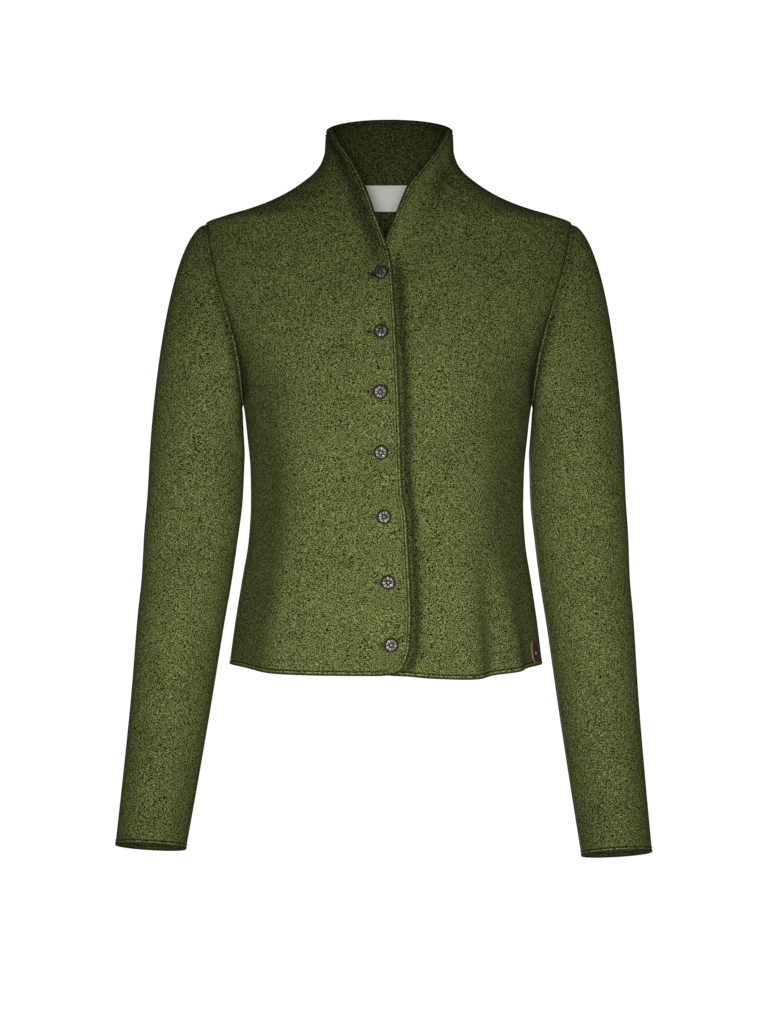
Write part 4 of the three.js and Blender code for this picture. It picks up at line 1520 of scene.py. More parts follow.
@dataclass
class Bindings:
    """The narrow folded bindings of the front edges, hem, collar and cuffs, and their topstitching."""

    form: BodyForm
    sleeves: Sequence[Sleeve]
    hem_stop: float = 9.0
    stitch: Topstitch = field(default_factory=Topstitch)

    def front_track(self, side: Side) -> Track:
        """Return the line along the hem from the side seam, up the edge and over to the collar's side.

        Args:
            side: which front.

        Returns:
            The track.
        """
        sign = side.value
        stop = float(self.form.edge_angle(side, HEM_Z + 2, self.hem_stop))
        hem = np.linspace(sign * RIGHT_ANGLE, stop, 90)
        corner = [-507.5, -504, -500, -495.5, -491]
        rise = np.concatenate([corner, np.linspace(-485, COLLAR_SIDE_Z, 180)])
        edge = self.form.edge_angle(side, rise)
        top = np.linspace(float(edge[-1]), sign * RIGHT_ANGLE, 16)[1:]
        angle = np.concatenate([hem, edge, top])
        z = np.concatenate([HEM_Z + hem_rise(hem), rise, np.full(len(top), COLLAR_SIDE_Z)])
        return track_on_body(self.form, angle, z, -sign, side is Side.LEFT)

    def back_track(self, height: Callable[[Array], Array], inside: int) -> Track:
        """Return a line round the back from the left side to the right."""
        turn = np.linspace(RIGHT_ANGLE, 3 * RIGHT_ANGLE, 120)
        return track_on_body(self.form, turn, height(wrapped(turn)), inside, False, rounds=1)

    def cuff_track(self, sleeve: Sleeve) -> Track:
        """Return the loop round a cuff's edge.

        Args:
            sleeve: whose cuff it is.

        Returns:
            The track.
        """
        turn = np.arange(132) * 2 * math.pi / 132
        rows = sleeve.surface(np.array([0.0, sleeve.cuff_start]), turn)
        out = unit(rows[0] - rows[1])
        tangent = unit(np.roll(rows[0], -1, axis=0) - np.roll(rows[0], 1, axis=0))
        normal = unit(np.cross(tangent, out)) * sleeve.side.value
        return Track(rows[0], out, normal, tangent)

    def build(self, finish: "Finish", thread: "Finish") -> None:
        """Make the six bindings and their stitches.

        Args:
            finish: of the bindings.
            thread: of the stitches.
        """
        tracks = {}
        for side in Side:
            tracks[f"binding_front_{side.name.lower()}"] = (self.front_track(side), False, -SEAM)
        tracks["binding_hem_back"] = (self.back_track(lambda a: HEM_Z + hem_rise(a), 1), False, SEAM)
        tracks["binding_collar_back"] = (self.back_track(collar_top, -1), False, SEAM)
        for sleeve in self.sleeves:
            tracks[f"binding_cuff_{sleeve.side.name.lower()}"] = (self.cuff_track(sleeve), True, None)
        for node, (track, closes, end_y) in tracks.items():
            band = swept_band(node, track, closes, end_y)
            settle(band, finish, node)
            LOG.info("%s: %.0f mm long", node, np.linalg.norm(np.diff(track.at, axis=0), axis=-1).sum())
        runs = [part for track, closes, _ in tracks.values() for part in self.stitch.along(track, closes)]
        settle(joined("topstitching", runs), thread)


# ------------------------------------------------------------------ buttons and buttonholes
class Spot(NamedTuple):
    """A place on the cloth with axes across the garment, up it, and off the cloth."""

    at: Array
    across: Array
    normal: Array
    down: Array

    def place(self, points: Array) -> Array:
        """Return points given as (across, off the cloth, down) in the garment's frame."""
        across, off, down = points[..., :1], points[..., 1:2], points[..., 2:]
        return self.at + across * self.across + off * self.normal + down * self.down


def spot_on(form: BodyForm, angle: Array, z: Array) -> Spot:
    """Return the place on the outer face at an angle and a height."""
    normal = form.normal(angle, z)
    across = unit(np.array([1.0, 0, 0]) - normal * normal[0])
    return Spot(form.point(angle, z), across, normal, np.cross(across, normal))


def spot_at(form: BodyForm, x: float, z: float) -> Spot:
    """Return the place on the front's outer face at a distance across and a height."""
    return spot_on(form, form.angle_for(np.array(x - form.lean(z)), np.array(z)), z)


@dataclass
class Buttonholes:
    """Lens-shaped slits in the right front, each worked round with thread."""

    form: BodyForm
    length: float = 16.0
    width: float = 2.6
    lead: float = 4.5
    reach: float = 4.4
    stitch_pitch: float = 0.62
    stitch_length: float = 1.9
    stitch_radius: float = 0.24
    stitch_arch: float = 0.22
    stitch_lift: float = 0.18

    def outline(self, margin: float, turn: Array) -> Array:
        """Return points round the slit, (across, down), a margin outside it."""
        a, b = self.length / 2 + margin, self.width / 2 + margin
        return np.stack([a * np.cos(turn) - self.lead, b * np.sin(turn)], axis=-1)

    def cut(self, front: bpy.types.Object) -> None:
        """Cut the slits in the front's wall.

        Args:
            front: the wall that the slits go through.
        """
        turn = np.arange(28) * 2 * math.pi / 28
        flat = self.outline(0.0, turn)
        parts = []
        for place in BUTTONS:
            spot = spot_at(self.form, place.x, place.z)
            levels = [np.full_like(turn, lift) for lift in (-self.reach, self.reach)]
            rings = [spot.place(np.stack([flat[:, 0], level, flat[:, 1]], axis=-1)) for level in levels]
            lids = [np.repeat(ring.mean(axis=0, keepdims=True), len(turn), axis=0) for ring in rings]
            points = np.concatenate([lids[0], rings[0], rings[1], lids[1]])
            parts.append((points, grid_faces(np.arange(len(points)).reshape(4, -1), True)))
        cutter = joined("buttonhole_cutter", parts)
        work = bmesh.new()
        work.from_mesh(cutter.data)
        bmesh.ops.remove_doubles(work, verts=work.verts, dist=1e-6)
        bmesh.ops.recalc_face_normals(work, faces=work.faces)
        work.to_mesh(cutter.data)
        work.free()
        cut = front.modifiers.new("buttonholes", "BOOLEAN")
        cut.operation = "DIFFERENCE"
        cut.solver = "EXACT"
        cut.object = cutter
        graph = bpy.context.evaluated_depsgraph_get()
        mesh = bpy.data.meshes.new_from_object(front.evaluated_get(graph))
        front.modifiers.remove(cut)
        front.data = mesh
        bpy.data.objects.remove(cutter)

    def work_round(self, thread: "Finish") -> None:
        """Sew a close row of stitches round each slit.

        Args:
            thread: of the stitches.
        """
        rng = np.random.default_rng(11)
        centres, ways, ups = [], [], []
        for place in BUTTONS:
            spot = spot_at(self.form, place.x, place.z)
            count = int(2 * self.length / self.stitch_pitch)
            turn = np.arange(count) * 2 * math.pi / count + rng.normal(0, 0.03, count)
            near, far = self.outline(0.05, turn), self.outline(self.stitch_length, turn)
            far = far + rng.normal(0, 0.18, far.shape)
            flat = np.stack([near, far])
            lift = np.full_like(flat[..., 0], self.stitch_lift)
            ends = spot.place(np.stack([flat[..., 0], lift, flat[..., 1]], axis=-1))
            centres.append(ends.mean(axis=0))
            ways.append(unit(ends[1] - ends[0]))
            ups.append(np.broadcast_to(spot.normal, ends[0].shape))
        frames = [np.concatenate(rows) for rows in (centres, ways, ups)]
        stitches = stitch_mesh(*frames, self.stitch_length, self.stitch_radius, self.stitch_arch)
        settle(joined("buttonhole_stitching", [stitches]), thread)


@dataclass(frozen=True)
class Rosette:
    """The relief cast on a button: a boss, two rings of petals and a ring of beads between grooves."""

    boss: float = 0.46
    boss_radius: float = 1.5
    dimple: float = 0.3
    dimple_reach: float = 0.55
    # each groove's place, reach and depth
    grooves: tuple[tuple[float, float, float], ...] = ((1.95, 0.25, 0.3), (5.55, 0.22, 0.26))
    petals: int = 8
    petal: float = 0.42
    petal_width: float = 0.46
    petal_from: float = 2.1
    petal_to: float = 5.5
    leaf: float = 0.4
    leaf_at: float = 4.75
    leaf_reach: float = 0.75
    leaf_width: float = 0.2
    vein: float = 0.14
    vein_width: float = 0.07
    vein_at: float = 3.7
    vein_reach: float = 1.2
    beads: int = 28
    bead: float = 0.3
    bead_at: float = 6.1
    bead_reach: float = 0.42
    bead_width: float = 0.46

    def off_petal(self, turn: Array, shift: float, count: int) -> Array:
        """Return how far each angle is from the middle of its petal or bead, as a share of one."""
        return (turn * count / (2 * math.pi) + shift) % 1 - 0.5

    def height(self, r: Array, turn: Array, number: int) -> Array:
        """Return the height above the dome.

        Args:
            r: distance from the axis.
            turn: round it.
            number: of the button, so that no two are worn alike.

        Returns:
            The heights.
        """
        boss = self.boss * arc(r / self.boss_radius) - self.dimple * bell(r / self.dimple_reach)
        groove = sum(-depth * bell((r - at) / reach) for at, reach, depth in self.grooves)
        off, between = (self.off_petal(turn, shift, self.petals) for shift in (0.5, 0.0))
        wide = self.petal_width * np.sqrt(np.clip(np.sin(np.pi * (r - self.petal_from) / 3.5), 0, 1))
        uneven = 1 + 0.22 * np.cos(3 * turn + number) + 0.12 * np.cos(5 * turn + 2 * number)
        petal = self.petal * uneven * arc(off / np.maximum(wide, 1e-3))
        leaf = self.leaf * arc((r - self.leaf_at) / self.leaf_reach, between / self.leaf_width)
        vein = self.vein * bell(off / self.vein_width) * (np.abs(r - self.vein_at) < self.vein_reach)
        in_petals = (r > self.petal_from) & (r < self.petal_to)
        bead_off = self.off_petal(turn, 0.0, self.beads)
        bead = self.bead * arc((r - self.bead_at) / self.bead_reach, bead_off / self.bead_width)
        return boss + groove + in_petals * (np.maximum(petal, leaf) - vein) + bead


def arc(*shares: Array) -> Array:
    """Return the height of a unit dome at shares of its half-widths, and 0 outside it."""
    return np.sqrt(np.clip(1 - sum(share**2 for share in shares), 0, 1))


def turned(profile: Sequence[tuple[float, float]], turn: Array, flat: float = 1.0) -> Array:
    """Return rings of points about an axis, from (radius, height), with their depth made flatter."""
    return np.stack([[[r * math.cos(a), h, flat * r * math.sin(a)] for a in turn] for r, h in profile])


@dataclass
class Button:
    """A cast dome button with a rosette of petals, a ring of beads and a shank."""

    form: BodyForm
    place: ButtonPlace
    number: int
    radius: float = 7.5
    drawn_radius: float = 7.0
    lift: float = 0.8
    rim: float = 1.3
    rise: float = 1.75
    shank_radius: float = 1.5
    shank_top: float = 0.6
    lean_lift: float = 0.6
    worn: float = 0.22  # how bright the plain dome is, from 0 to 1
    worn_gain: float = 0.9  # and how much brighter for each millimetre of relief
    rings: int = 34
    round_steps: int = 112
    rosette: Rosette = Rosette()

    def build(self, finish: "Finish") -> None:
        """Make the button.

        Args:
            finish: of the metal.
        """
        turn = np.arange(self.round_steps) * 2 * math.pi / self.round_steps
        r = np.concatenate([np.linspace(0.02, 6.55, self.rings), [6.75, 6.9, 6.97, 7.0]])[:, None]
        relief = self.rosette.height(r, turn[None, :], self.number)
        height = self.rim + self.rise * arc(r / self.drawn_radius) + relief
        face = np.stack(np.broadcast_arrays(r * np.cos(turn), height, r * np.sin(turn)), axis=-1)
        rear = turned([(7.0, 1.0), (6.9, 0.6), (6.6, 0.25), (5.6, 0.0), (3.0, 0.0), (0.02, 0.0)], turn)
        body = np.concatenate([face, rear])
        foot = GAP - LAP_STEP - self.lift
        shank = turned([(self.shank_radius, h) for h in np.linspace(foot, self.shank_top, 5)], turn[::4], 0.5)
        parts = [
            (self.lifted(rows.reshape(-1, 3), spins), grid_faces(grid_numbers(rows), True))
            for rows, spins in ((body, True), (shank, False))
        ]
        node = f"button_{self.number}"
        button = joined(node, parts)
        turn_outwards(button)
        raised = np.concatenate([relief.ravel(), np.zeros(rear[..., 0].size + shank[..., 0].size)])
        set_tone_and_painted_shade(button, np.clip(self.worn + self.worn_gain * raised, 0, 1))
        settle(button, finish, node)

    def lifted(self, points: Array, spins: bool = True) -> Array:
        """Return points of the button's own frame in the garment's, spun and turned as this button hangs.

        Args:
            points: (across, off the cloth, down), from the middle of its foot.
            spins: they turn with the rosette.

        Returns:
            The points, in the garment's frame.
        """
        spin = math.radians(self.place.spun) if spins else 0.0
        lean = math.radians(self.place.turned)
        wide = self.radius / self.drawn_radius
        x = (points[:, 0] * math.cos(spin) - points[:, 2] * math.sin(spin)) * wide
        w = (points[:, 0] * math.sin(spin) + points[:, 2] * math.cos(spin)) * wide
        h = points[:, 1]
        across, off = x * math.cos(lean) - h * math.sin(lean), x * math.sin(lean) + h * math.cos(lean)
        off = off + self.lift + self.radius * abs(math.sin(lean)) * self.lean_lift
        spot = spot_at(self.form, self.place.x, self.place.z)
        return spot.place(np.stack([across, off, w], axis=-1))


# ------------------------------------------------------------------ labels
@dataclass
class NeckLabel:
    """A bare woven ribbon sewn inside the back of the neck by its two ends."""

    form: BodyForm
    width: float = 52.0
    top: float = -3.0
    height: float = 25.5
    thick: float = 0.7
    clear: float = 0.9
    slack: float = 0.5
    buckle: float = 0.22

    def build(self, finish: "Finish", thread: "Finish") -> None:
        """Make the label and its stitches.

        Args:
            finish: of the ribbon.
            thread: of its stitches.
        """
        u, v = np.linspace(1, -1, 60)[None, :], np.linspace(0, 1, 34)[:, None]
        z = self.top - self.height * v + 0 * u
        angle = self.form.angle_for(u * self.width / 2 + 0 * v, z, True)
        surface, normal = self.form.point(angle, z), self.form.normal(angle, z)
        slack = self.slack * np.sin(v * math.pi) * (1 - u**4)
        slack = slack + self.buckle * bell((u - 0.35) / 0.25) * (v - 0.3)
        front = WALL + self.clear + self.thick + slack
        outer = surface - normal * (front - self.thick)[..., None]
        inner = surface - normal * front[..., None]
        uv = np.stack(np.broadcast_arrays(u * self.width / 2, -v * self.height), axis=-1)
        label = wall_object("label_neck", outer, inner, uv)
        turn_outwards(label)
        settle(label, finish, "label_neck")
        rows = np.linspace(0.07, 0.93, 9)
        at_z = self.top - self.height * rows
        runs = []
        for end in (-0.94, 0.94):
            at_angle = self.form.angle_for(end * self.width / 2 + 0 * rows, at_z, True)
            normal_in = -self.form.normal(at_angle, at_z)
            centre = self.form.point(at_angle, at_z) + normal_in * (WALL + self.clear + self.thick + 0.15)
            upright = np.broadcast_to([0.0, 0, 1.0], centre.shape)
            runs.append(stitch_mesh(centre, upright, normal_in, length=2.2, radius=0.26, arch=0.3))
        settle(joined("label_stitching", runs), thread)


@dataclass
class SideTab:
    """A small leather leaf riveted flat by the left side seam, above the hem."""

    form: BodyForm
    turn: float = 78.5
    half_turn: float = 3.9
    top: float = -478.0
    bottom: float = -501.5
    thick: float = 1.4
    rivet_z: float = -491.0
    degree_length: float = 2.4

    def build(self, leather: "Finish", metal: "Finish") -> None:
        """Make the leaf and its rivet.

        Args:
            leather: finish of the leaf.
            metal: finish of the rivet.
        """
        t = np.linspace(0.03, 0.97, 40)[:, None]
        share = np.linspace(-1, 1, 17)[None, :]
        half = self.half_turn * np.sqrt(1 - np.abs(2 * t - 1) ** 3)
        angle = np.radians(self.turn + half * share)
        z = self.top + (self.bottom - self.top) * t + 0 * share
        surface, normal = self.form.point(angle, z), self.form.normal(angle, z)
        edge = np.maximum(np.abs(share), np.abs(2 * t - 1) ** 2)
        pillow = 0.35 * smooth((edge - 0.75) / 0.25)
        outer = surface + normal * (GAP + self.thick - pillow + 0 * angle)[..., None]
        inner = surface + normal * GAP
        uv = np.stack([np.degrees(angle) * self.degree_length, z], axis=-1)
        leaf = wall_object("tab_side", outer, inner, uv, closed=smooth((edge - 0.72) / 0.25) + 0 * angle)
        turn_outwards(leaf)
        settle(leaf, leather, "tab_side")
        self.rivet(metal)

    def rivet(self, metal: "Finish") -> None:
        """Make the rivet's domed head.

        Args:
            metal: finish of the rivet.
        """
        spot = spot_on(self.form, np.array(math.radians(self.turn)), np.array(self.rivet_z))
        turn = np.arange(32) * 2 * math.pi / 32
        rim = [(0.02, 0.1), (1.9, 0.1), (2.05, 0.25), (2.0, 0.45)]
        crown = [(1.75, 0.75), (1.3, 1.05), (0.7, 1.2), (0.02, 1.25)]
        rows = turned([(r, GAP + self.thick + h) for r, h in rim + crown], turn)
        faces = grid_faces(grid_numbers(rows), True)
        head = joined("tab_side_rivet", [(spot.place(rows.reshape(-1, 3)), faces)])
        turn_outwards(head)
        set_tone_and_painted_shade(head, np.full(rows[..., 0].size, 0.8))
        settle(head, metal, "tab_side_rivet")


# ------------------------------------------------------------------ finishes
def linear(colour: str) -> tuple[float, float, float, float]:
    """Turn an sRGB hex colour into the linear RGBA that the shader wants."""
    parts = [int(colour[i : i + 2], 16) / 255 for i in (1, 3, 5)]
    return (*[c / 12.92 if c <= 0.04045 else ((c + 0.055) / 1.055) ** 2.4 for c in parts], 1.0)


class Graph:
    """A material's node tree, with one way to add a node."""

    def __init__(self, name: str) -> None:
        """Start a material with an empty tree and its output.

        Args:
            name: of the material.
        """
        self.material = bpy.data.materials.new(name)
        self.material.use_nodes = True
        self.tree = self.material.node_tree
        self.tree.nodes.clear()
        self.out = self.tree.nodes.new("ShaderNodeOutputMaterial")

    def node(self, kind: str, settings: dict[str, object] | None = None, **inputs: object) -> bpy.types.Node:
        """Add a node.

        Args:
            kind: its type, without the leading ShaderNode.
            settings: properties of the node.
            **inputs: values or sockets for its inputs, with underscores for spaces.

        Returns:
            The node.
        """
        made = self.tree.nodes.new(f"ShaderNode{kind}")
        for key, value in (settings or {}).items():
            setattr(made, key, value)
        for key, value in inputs.items():
            socket = made.inputs[int(key[1:])] if key[0] == "_" else made.inputs[key.replace("_", " ")]
            if isinstance(value, Socket):
                self.tree.links.new(value, socket)
            else:
                socket.default_value = value
        return made

    def noise(self, vector: Socket, scale: float, detail: float, roughness: float = 0.5) -> Socket:
        """Add a noise of a scale in features to the metre and return its value."""
        made = self.node("TexNoise", Vector=vector, Scale=scale, Detail=detail, Roughness=roughness)
        return made.outputs["Fac"]

    def ramp(self, value: Socket, stops: Sequence[tuple[float, str]]) -> Socket:
        """Add a colour ramp through sRGB stops and return its colour.

        Args:
            value: what the ramp reads.
            stops: places and sRGB colours, in rising order.

        Returns:
            The colour's socket.
        """
        made = self.node("ValToRGB", Fac=value)
        bar = made.color_ramp
        while len(bar.elements) < len(stops):
            bar.elements.new(0.5)
        for element, (at, colour) in zip(bar.elements, stops):
            element.position = at
            element.color = linear(colour)
        return made.outputs["Color"]

    def blend(self, factor: Socket, a: Socket, b: tuple[float, ...]) -> Socket:
        """Mix two colours and return the mix."""
        made = self.node("Mix", {"data_type": "RGBA"}, _0=factor, _6=a, _7=b)
        return made.outputs[2]

    def finish(self, shader: bpy.types.Node) -> bpy.types.Material:
        """Link the shader to the output and return the material."""
        self.tree.links.new(shader.outputs[0], self.out.inputs["Surface"])
        return self.material


@dataclass
class Finish:
    """A material made once and given to each piece that has it."""

    name: str
    slot: str
    material: bpy.types.Material | None = field(init=False, default=None)

    def make(self) -> bpy.types.Material:
        """Build the material; each finish has its own."""
        raise NotImplementedError

    def dress(self, thing: bpy.types.Object) -> None:
        """Give a piece this finish."""
        if self.material is None:
            self.material = self.make()
        thing.data.materials.clear()
        thing.data.materials.append(self.material)


@dataclass
class FeltedWool(Finish):
    """Knitted wool, milled until its stitches close up: matt, with a melange of dark and light fibres."""

    dark: str = "#090b03"
    middle: str = "#3b411a"
    light: str = "#8c9556"
    fleck: float = 1300.0  # to the metre: 0.8 mm, a tuft, because a single fibre is too fine to show
    coarse: float = 0.42  # the coarser flecks' scale beside the fine ones'
    coarse_share: float = 0.06
    drift: float = 0.03
    contrast: tuple[float, float, float] = (0.44, 0.5, 0.56)
    shade_share: float = 0.85
    highlight_share: float = 0.8
    fuzz: float = 1500.0
    nap: float = 620.0
    bump: float = 0.15

    def make(self) -> bpy.types.Material:
        """Build the cloth: flecks a little longer along the courses, over a slow drift and a fine nap.

        Returns:
            The material.
        """
        g = Graph(self.name)
        place = g.node("TexCoord").outputs["Object"]
        courses = g.node("Mapping", Vector=place, Scale=(0.62, 0.62, 1.15)).outputs["Vector"]
        fine = g.noise(courses, self.fleck, 2.0, 0.65)
        coarse = g.noise(courses, self.fleck * self.coarse, 1.0, 0.6)
        fleck = g.node("Mix", {"data_type": "FLOAT"}, _0=self.coarse_share, _2=fine, _3=coarse).outputs[0]
        drift = g.noise(place, 24.0, 2.0)
        mixed = g.node("Math", {"operation": "MULTIPLY_ADD"}, _0=drift, _1=self.drift, _2=fleck).outputs[0]
        shifted = g.node("Math", {"operation": "SUBTRACT"}, _0=mixed, _1=self.drift / 2).outputs[0]
        stops = zip(self.contrast, (self.dark, self.middle, self.light))
        colour = g.ramp(shifted, list(stops))
        # the relief attribute carries painted shade above 0 and painted highlight below 0, blended towards
        # the dark and the light fibres
        painted_shade_and_edge_tone = g.node("Attribute", {"attribute_name": "relief"}).outputs["Fac"]
        clamped = {"operation": "MULTIPLY", "use_clamp": True}
        for share, tone in ((self.shade_share, self.dark), (-self.highlight_share, self.light)):
            amount = g.node("Math", clamped, _0=painted_shade_and_edge_tone, _1=share).outputs[0]
            colour = g.blend(amount, colour, linear(tone))
        fuzz = g.noise(place, self.fuzz, 3.0, 0.65)
        nap = g.noise(courses, self.nap, 3.0, 0.7)
        height = g.node("Math", {"operation": "MULTIPLY_ADD"}, _0=fuzz, _1=0.4, _2=nap).outputs[0]
        bump = g.node("Bump", Strength=self.bump, Distance=0.0009, Height=height).outputs["Normal"]
        shader = g.node("BsdfPrincipled", Base_Color=colour, Roughness=0.95, IOR=1.54, Normal=bump)
        # wool scatters nearly all light inside its nap, and its loose fibre ends catch grazing light
        shader.inputs["Specular IOR Level"].default_value = 0.12
        shader.inputs["Sheen Weight"].default_value = 0.03
        shader.inputs["Sheen Roughness"].default_value = 0.6
        shader.inputs["Sheen Tint"].default_value = linear(self.light)
        return g.finish(shader)


@dataclass
class SewingThread(Finish):
    """Spun polyester thread: dark, with a little gloss from its smooth filaments."""

    colour: str = "#080b04"

    def make(self) -> bpy.types.Material:
        """Build the thread, with the twist of its plies as a fine bump.

        Returns:
            The material.
        """
        g = Graph(self.name)
        place = g.node("TexCoord").outputs["Object"]
        twist = g.noise(place, 2600.0, 1.0)
        bump = g.node("Bump", Strength=0.3, Distance=0.0002, Height=twist).outputs["Normal"]
        colour = linear(self.colour)
        return g.finish(g.node("BsdfPrincipled", Base_Color=colour, Roughness=0.6, IOR=1.57, Normal=bump))


@dataclass
class CastMetal(Finish):
    """Die-cast zinc, plated and antiqued: bright on worn relief, nearly black in the hollows."""

    tarnish: str = "#26221f"
    worn: str = "#9c968c"

    def make(self) -> bpy.types.Material:
        """Build the metal: hollows keep the dark wash, relief is polished through it.

        Returns:
            The material.
        """
        g = Graph(self.name)
        place = g.node("TexCoord").outputs["Object"]
        relief = g.node("Attribute", {"attribute_name": "relief"}).outputs["Fac"]
        pits = g.noise(place, 1100.0, 3.0, 0.8)
        level = g.node("Math", {"operation": "MULTIPLY_ADD"}, _0=pits, _1=0.75, _2=relief).outputs[0]
        colour = g.ramp(level, [(0.5, self.tarnish), (0.84, "#4b4640"), (1.0, self.worn)])
        rough = g.node("MapRange", Value=level, From_Min=0.4, To_Min=0.65, To_Max=0.42).outputs[0]
        bump = g.node("Bump", Strength=0.6, Distance=0.0003, Height=pits).outputs["Normal"]
        metal = g.node("BsdfPrincipled", Base_Color=colour, Metallic=0.8, Roughness=rough, Normal=bump)
        return g.finish(metal)


@dataclass
class WovenRibbon(Finish):
    """Satin-woven polyester ribbon: fine ribs across, a soft gloss, no print."""

    colour: str = "#fbf9f4"
    between: str = "#ece9e1"
    ribs: float = 2.8  # to the unit of the cloth's UV

    def make(self) -> bpy.types.Material:
        """Build the ribbon: fine ribs from the weave, a little darker between.

        Returns:
            The material.
        """
        g = Graph(self.name)
        flat = g.node("UVMap", {"uv_map": "cloth"}).outputs["UV"]
        rows = {"bands_direction": "Y"}
        rib = g.node("TexWave", rows, Vector=flat, Scale=self.ribs / math.pi, Distortion=0.6, Detail=1.0)
        bump = g.node("Bump", Strength=0.35, Distance=0.0002, Height=rib.outputs["Fac"]).outputs["Normal"]
        shade = g.ramp(rib.outputs["Fac"], [(0.0, self.between), (1.0, self.colour)])
        return g.finish(g.node("BsdfPrincipled", Base_Color=shade, Roughness=0.55, IOR=1.55, Normal=bump))


@dataclass
class TannedLeather(Finish):
    """Vegetable-tanned leather, dyed brown on its grain side with paler cut edges."""

    grain: str = "#4a332c"
    edge: str = "#8a6f5c"

    def make(self) -> bpy.types.Material:
        """Build the leather: pebbled grain and the undyed rim.

        Returns:
            The material.
        """
        g = Graph(self.name)
        place = g.node("TexCoord").outputs["Object"]
        rim = g.node("Attribute", {"attribute_name": "relief"}).outputs["Fac"]
        cells = g.node("TexVoronoi", Vector=place, Scale=1300.0).outputs["Distance"]
        bump = g.node("Bump", Strength=0.3, Distance=0.0003, Height=cells).outputs["Normal"]
        colour = g.ramp(rim, [(0.35, self.grain), (1.0, self.edge)])
        return g.finish(g.node("BsdfPrincipled", Base_Color=colour, Roughness=0.5, IOR=1.5, Normal=bump))


@dataclass
class PaleFloor(Finish):
    """Painted studio floor: plain, pale and matt."""

    colour: str = "#f7f7f6"

    def make(self) -> bpy.types.Material:
        """Build the paint."""
        g = Graph(self.name)
        return g.finish(g.node("BsdfPrincipled", Base_Color=linear(self.colour), Roughness=0.9, IOR=1.5))


# ------------------------------------------------------------------ studio
class Lamp(NamedTuple):
    """A soft box: its place and aim in metres, its size, its power in watts and its cone in degrees."""

    name: str
    at: tuple[float, float, float]
    aim: tuple[float, float, float]
    size: float
    watts: float
    cone: float


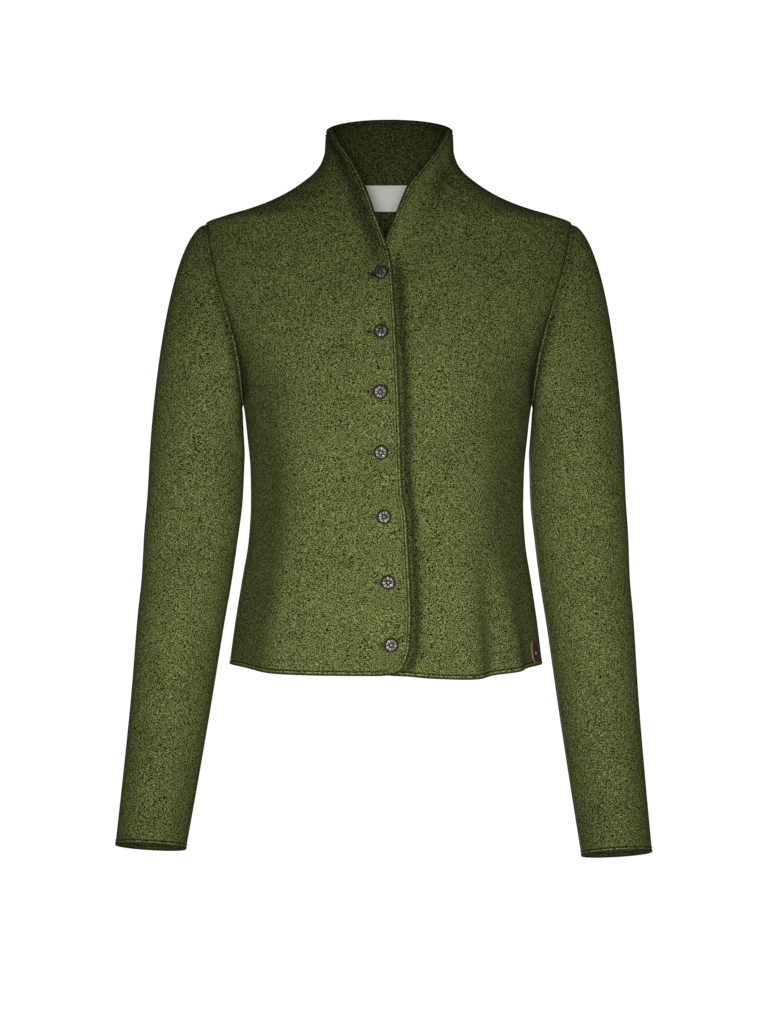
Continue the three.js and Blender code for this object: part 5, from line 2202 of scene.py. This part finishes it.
@dataclass
class Studio:
    """A pale floor, soft boxes, an even white surround and the camera."""

    floor_z: float = -1.15
    floor_radius: float = 1.5
    surround: float = 1.05
    fill: float = 0.03
    wash_z: float = -0.73
    wash_watts: float = 22.0
    lamps: Sequence[Lamp] = (
        Lamp("key", (-0.05, -3.1, -0.42), (0.0, 0.0, -0.44), 0.5, 402.0, 23.5),
        Lamp("rear_key", (-0.5, 3.1, 0.3), (0.0, 0.0, -0.42), 0.5, 480.0, 30.0),
    )
    camera_at: tuple[float, float, float] = (-0.00309, -3.0, -0.3471)
    lens: float = 102.4

    def build(self, floor_finish: Finish) -> None:
        """Make the floor, the lights and the camera.

        Args:
            floor_finish: the floor's paint.
        """
        bpy.context.scene.view_settings.view_transform = "Standard"
        self.floor(floor_finish)
        self.wash()
        self.surround_light()
        for lamp in self.lamps:
            self.light(lamp)
        self.camera()

    def place(self, name: str, data: bpy.types.ID, at: Sequence[float]) -> bpy.types.Object:
        """Put a light or the camera in the scene and return its object.

        Args:
            name: of the object.
            data: the light or the camera.
            at: its place, in metres.

        Returns:
            The object.
        """
        thing = bpy.data.objects.new(name, data)
        thing.location = at
        bpy.context.scene.collection.objects.link(thing)
        return thing

    def floor(self, finish: Finish) -> None:
        """Make the round floor.

        Args:
            finish: the floor's paint.
        """
        turn = np.arange(96) * 2 * math.pi / 96
        radii = np.array([0.001, 0.5, 1.0]) * self.floor_radius / MM
        level = np.full_like(turn, self.floor_z / MM)
        rings = np.stack([np.stack([r * np.cos(turn), r * np.sin(turn), level], axis=-1) for r in radii])
        faces = grid_faces(grid_numbers(rings), True)[:, ::-1]
        floor = make_object("floor", rings.reshape(-1, 3), faces)
        finish.dress(floor)
        floor.visible_diffuse = False  # the wash on the floor stays off the cloth

    def wash(self) -> None:
        """Light the floor from just above it, so that it stays pale below the garment."""
        data = bpy.data.lights.new("floor_wash", "AREA")
        data.shape, data.size, data.energy = "DISK", 2 * self.floor_radius, self.wash_watts
        self.place("floor_wash", data, (0.0, 0.0, self.wash_z)).visible_camera = False

    def surround_light(self) -> None:
        """Show the camera an even white surround, and light the cloth with a dim one."""
        world = bpy.data.worlds.new("surround")
        world.use_nodes = True
        tree = world.node_tree
        fill, paper = tree.nodes["Background"], tree.nodes.new("ShaderNodeBackground")
        for shade, strength in ((fill, self.fill), (paper, self.surround)):
            shade.inputs["Color"].default_value = (1.0, 1.0, 1.0, 1.0)
            shade.inputs["Strength"].default_value = strength
        seen, mix = tree.nodes.new("ShaderNodeLightPath"), tree.nodes.new("ShaderNodeMixShader")
        tree.links.new(seen.outputs["Is Camera Ray"], mix.inputs["Fac"])
        tree.links.new(fill.outputs[0], mix.inputs[1])
        tree.links.new(paper.outputs[0], mix.inputs[2])
        tree.links.new(mix.outputs[0], tree.nodes["World Output"].inputs["Surface"])
        bpy.context.scene.world = world

    def light(self, lamp: Lamp) -> None:
        """Add a soft box, whose cone keeps its light to the garment.

        Args:
            lamp: what to add.
        """
        data = bpy.data.lights.new(lamp.name, "SPOT")
        data.spot_size = math.radians(lamp.cone)
        data.spot_blend = 1.0
        data.shadow_soft_size = lamp.size / 2
        data.energy = lamp.watts
        x, y, z = np.array(lamp.aim) - np.array(lamp.at)
        tilt = math.acos(-z / math.hypot(x, y, z))
        self.place(lamp.name, data, lamp.at).rotation_euler = (tilt, 0.0, math.atan2(y, x) - RIGHT_ANGLE)

    def camera(self) -> None:
        """Add the camera, level and square to the front."""
        data = bpy.data.cameras.new("camera")
        data.lens = self.lens
        camera = self.place("camera", data, self.camera_at)
        camera.rotation_euler = (RIGHT_ANGLE, 0.0, 0.0)
        bpy.context.scene.camera = camera


def main() -> None:
    """Build and dress the cardigan, then the studio round it."""
    logging.basicConfig(level=logging.INFO, format="%(message)s")
    wool = FeltedWool("felted_wool_milled", "felted_knit")
    # the binding is a lighter copy of the body's wool: painted highlight on its rounded fold
    binding_wool_painted_lighter = FeltedWool("felted_wool_binding_folded", "binding", "#12160a", "#535d2e", "#a9b369")
    thread = SewingThread("polyester_thread_spun", "felted_knit")
    metal = CastMetal("zinc_die_cast_antiqued", "button_metal")
    ribbon = WovenRibbon("polyester_ribbon_woven", "label_cloth")
    leather = TannedLeather("leather_vegetable_tanned", "leather")
    floor = PaleFloor("paint_matt_rolled", "")

    form = BodyForm()
    cloths: dict[str, Cloth] = {}
    for side in Side:
        panel = FrontPanel(form, side)
        cloths[panel.node] = panel.build(wool)
    holes = Buttonholes(form)
    holes.cut(cloths["front_right"].thing)
    holes.work_round(thread)
    cloths["back"] = BackPanel(form).build(wool)
    cloths["collar_back"] = BackCollar(form).build(wool)
    sleeves = [Sleeve(form, Side.RIGHT, -688.0), Sleeve(form, Side.LEFT, -695.0)]
    for sleeve in sleeves:
        cloths[sleeve.node] = sleeve.build(wool)
    for node, cloth in cloths.items():
        LOG.info("%s: %d faces", node, len(cloth.thing.data.polygons))
    Bindings(form, sleeves).build(binding_wool_painted_lighter, thread)
    for number, place in enumerate(BUTTONS, start=1):
        Button(form, place, number).build(metal)
    NeckLabel(form).build(ribbon, thread)
    SideTab(form).build(leather, metal)
    Studio().build(floor)


if __name__ == "__main__":
    main()
